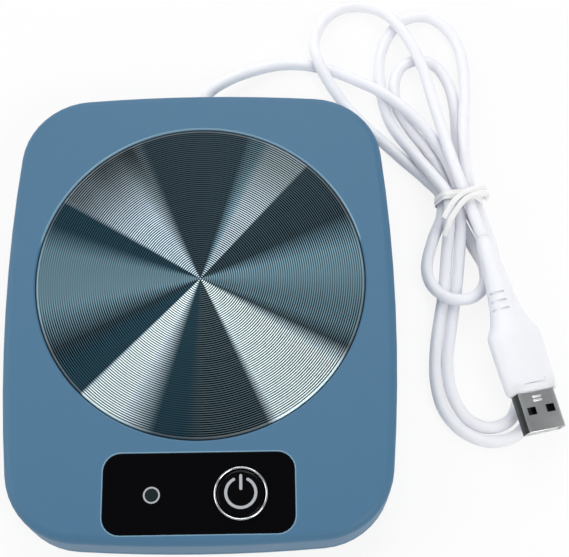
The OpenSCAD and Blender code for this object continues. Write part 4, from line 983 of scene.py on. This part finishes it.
# What the hidden pieces are made of: name of the finish, colour, roughness, metallic, grain in
# millimetres, and the pieces
HIDDEN_FINISHES = [
    ("polyimide film", "#C9822F", 0.35, 0, 0.8, "heating_film"),
    ("etched copper foil", "#B87333", 0.35, 1, 0.3, "heating_track"),
    ("pressed ceramic felt", "#E4E0D4", 0.95, 0, 0.5, "insulation_pad"),
    ("zinc plated sheet steel", "#B4B8BC", 0.35, 1, 0.6, "heater_clamp"),
    ("zinc plated screw steel", "#B8BCC0", 0.3, 1, 0.4, "clamp_screws", "board_screws", "saddle_screws"),
    ("dipped epoxy", "#1C1C1E", 0.4, 0, 0.5, "thermistor"),
    ("glazed ceramic", "#D8D2C0", 0.3, 0, 0.4, "thermal_fuse"),
    ("red silicone insulation", "#A82C26", 0.55, 0, 0.4, "heater_leads"),
    ("black PVC insulation", "#232325", 0.5, 0, 0.4, "sensor_leads"),
    ("white transfer tape", "#D6D6CF", 0.8, 0, 0.3, "panel_adhesive"),
    ("clear epoxy", "#DDE4E8", 0.15, 0, 0.6, "indicator_led"),
    ("glass filled nylon", "#25262A", 0.55, 0, 0.3, "switch_body"),
    ("acetal", "#86898D", 0.4, 0, 0.3, "switch_plunger"),
    ("green solder mask on glass fibre", "#1C6240", 0.4, 0, 0.8, "circuit_board"),
    ("moulded epoxy", "#222326", 0.6, 0, 0.3, "power_transistor"),
    ("moulded epoxy", "#1A1B1E", 0.6, 0, 0.3, "controller_chip"),
    ("drawn aluminium can", "#B9BDC4", 0.3, 1, 0.4, "capacitor"),
    ("glazed alumina", "#2C2D32", 0.35, 0, 0.3, "chip_resistors"),
    ("cream nylon", "#E9E7DC", 0.5, 0, 0.4, "wire_connectors"),
    ("red PVC insulation", "#A93A33", 0.5, 0, 0.4, "supply_leads"),
    ("cream nylon", "#E4E2D8", 0.5, 0, 0.4, "cable_saddle"),
    ("zinc plated screw steel", "#B0B4B8", 0.3, 1, 0.4, "housing_screws"),
    ("moulded rubber", "#242527", 0.85, 0, 0.5, "rubber_feet"),
]


class MUGWARMER_OT_insides(bpy.types.Operator):
    """Give the hidden pieces, the screws and the feet their finishes"""
    bl_idname = "mug_warmer.insides"
    bl_label = "Inside pieces, screws and feet"

    def execute(self, context):
        for name, code, roughness, metallic, grain, *nodes in HIDDEN_FINISHES:
            material = finish(name, code, roughness, metallic, grain)
            for node in nodes:
                give(frame["nodes"][node], material)
        return {"FINISHED"}


# -------------------- panel and registration

OPERATORS = (MUGWARMER_OT_stage, MUGWARMER_OT_plug, MUGWARMER_OT_tie, MUGWARMER_OT_cable, MUGWARMER_OT_housing,
             MUGWARMER_OT_plate, MUGWARMER_OT_controls, MUGWARMER_OT_insides)


class MugWarmerSettings(bpy.types.PropertyGroup):
    stage: PointerProperty(type=StageSettings)
    housing: PointerProperty(type=HousingSettings)
    plate: PointerProperty(type=PlateSettings)
    controls: PointerProperty(type=ControlSettings)
    cable: PointerProperty(type=CableSettings)


class MUGWARMER_PT_panel(bpy.types.Panel):
    """Sizes, colours and pieces of the mug warmer"""
    bl_idname = "MUGWARMER_PT_panel"
    bl_label = "Mug warmer"
    bl_space_type = "VIEW_3D"
    bl_region_type = "UI"
    bl_category = "Mug warmer"

    def draw(self, context):
        values = context.scene.mug_warmer
        for group in (values.stage, values.housing, values.plate, values.controls, values.cable):
            box = self.layout.box()
            for name in group.__annotations__:
                box.prop(group, name)
        for operator in OPERATORS:
            self.layout.operator(operator.bl_idname)


CLASSES = (StageSettings, HousingSettings, PlateSettings, ControlSettings, CableSettings, MugWarmerSettings,
           *OPERATORS, MUGWARMER_PT_panel)


def register():
    for cls in CLASSES:
        bpy.utils.register_class(cls)
    bpy.types.Scene.mug_warmer = PointerProperty(type=MugWarmerSettings)


def unregister():
    del bpy.types.Scene.mug_warmer
    for cls in reversed(CLASSES):
        bpy.utils.unregister_class(cls)


def main():
    register()
    bpy.ops.mug_warmer.stage()
    bpy.ops.mug_warmer.plug()
    bpy.ops.mug_warmer.tie()
    bpy.ops.mug_warmer.cable()
    bpy.ops.mug_warmer.housing()
    bpy.ops.mug_warmer.plate()
    bpy.ops.mug_warmer.controls()
    bpy.ops.mug_warmer.insides()


if __name__ == "__main__":
    main()
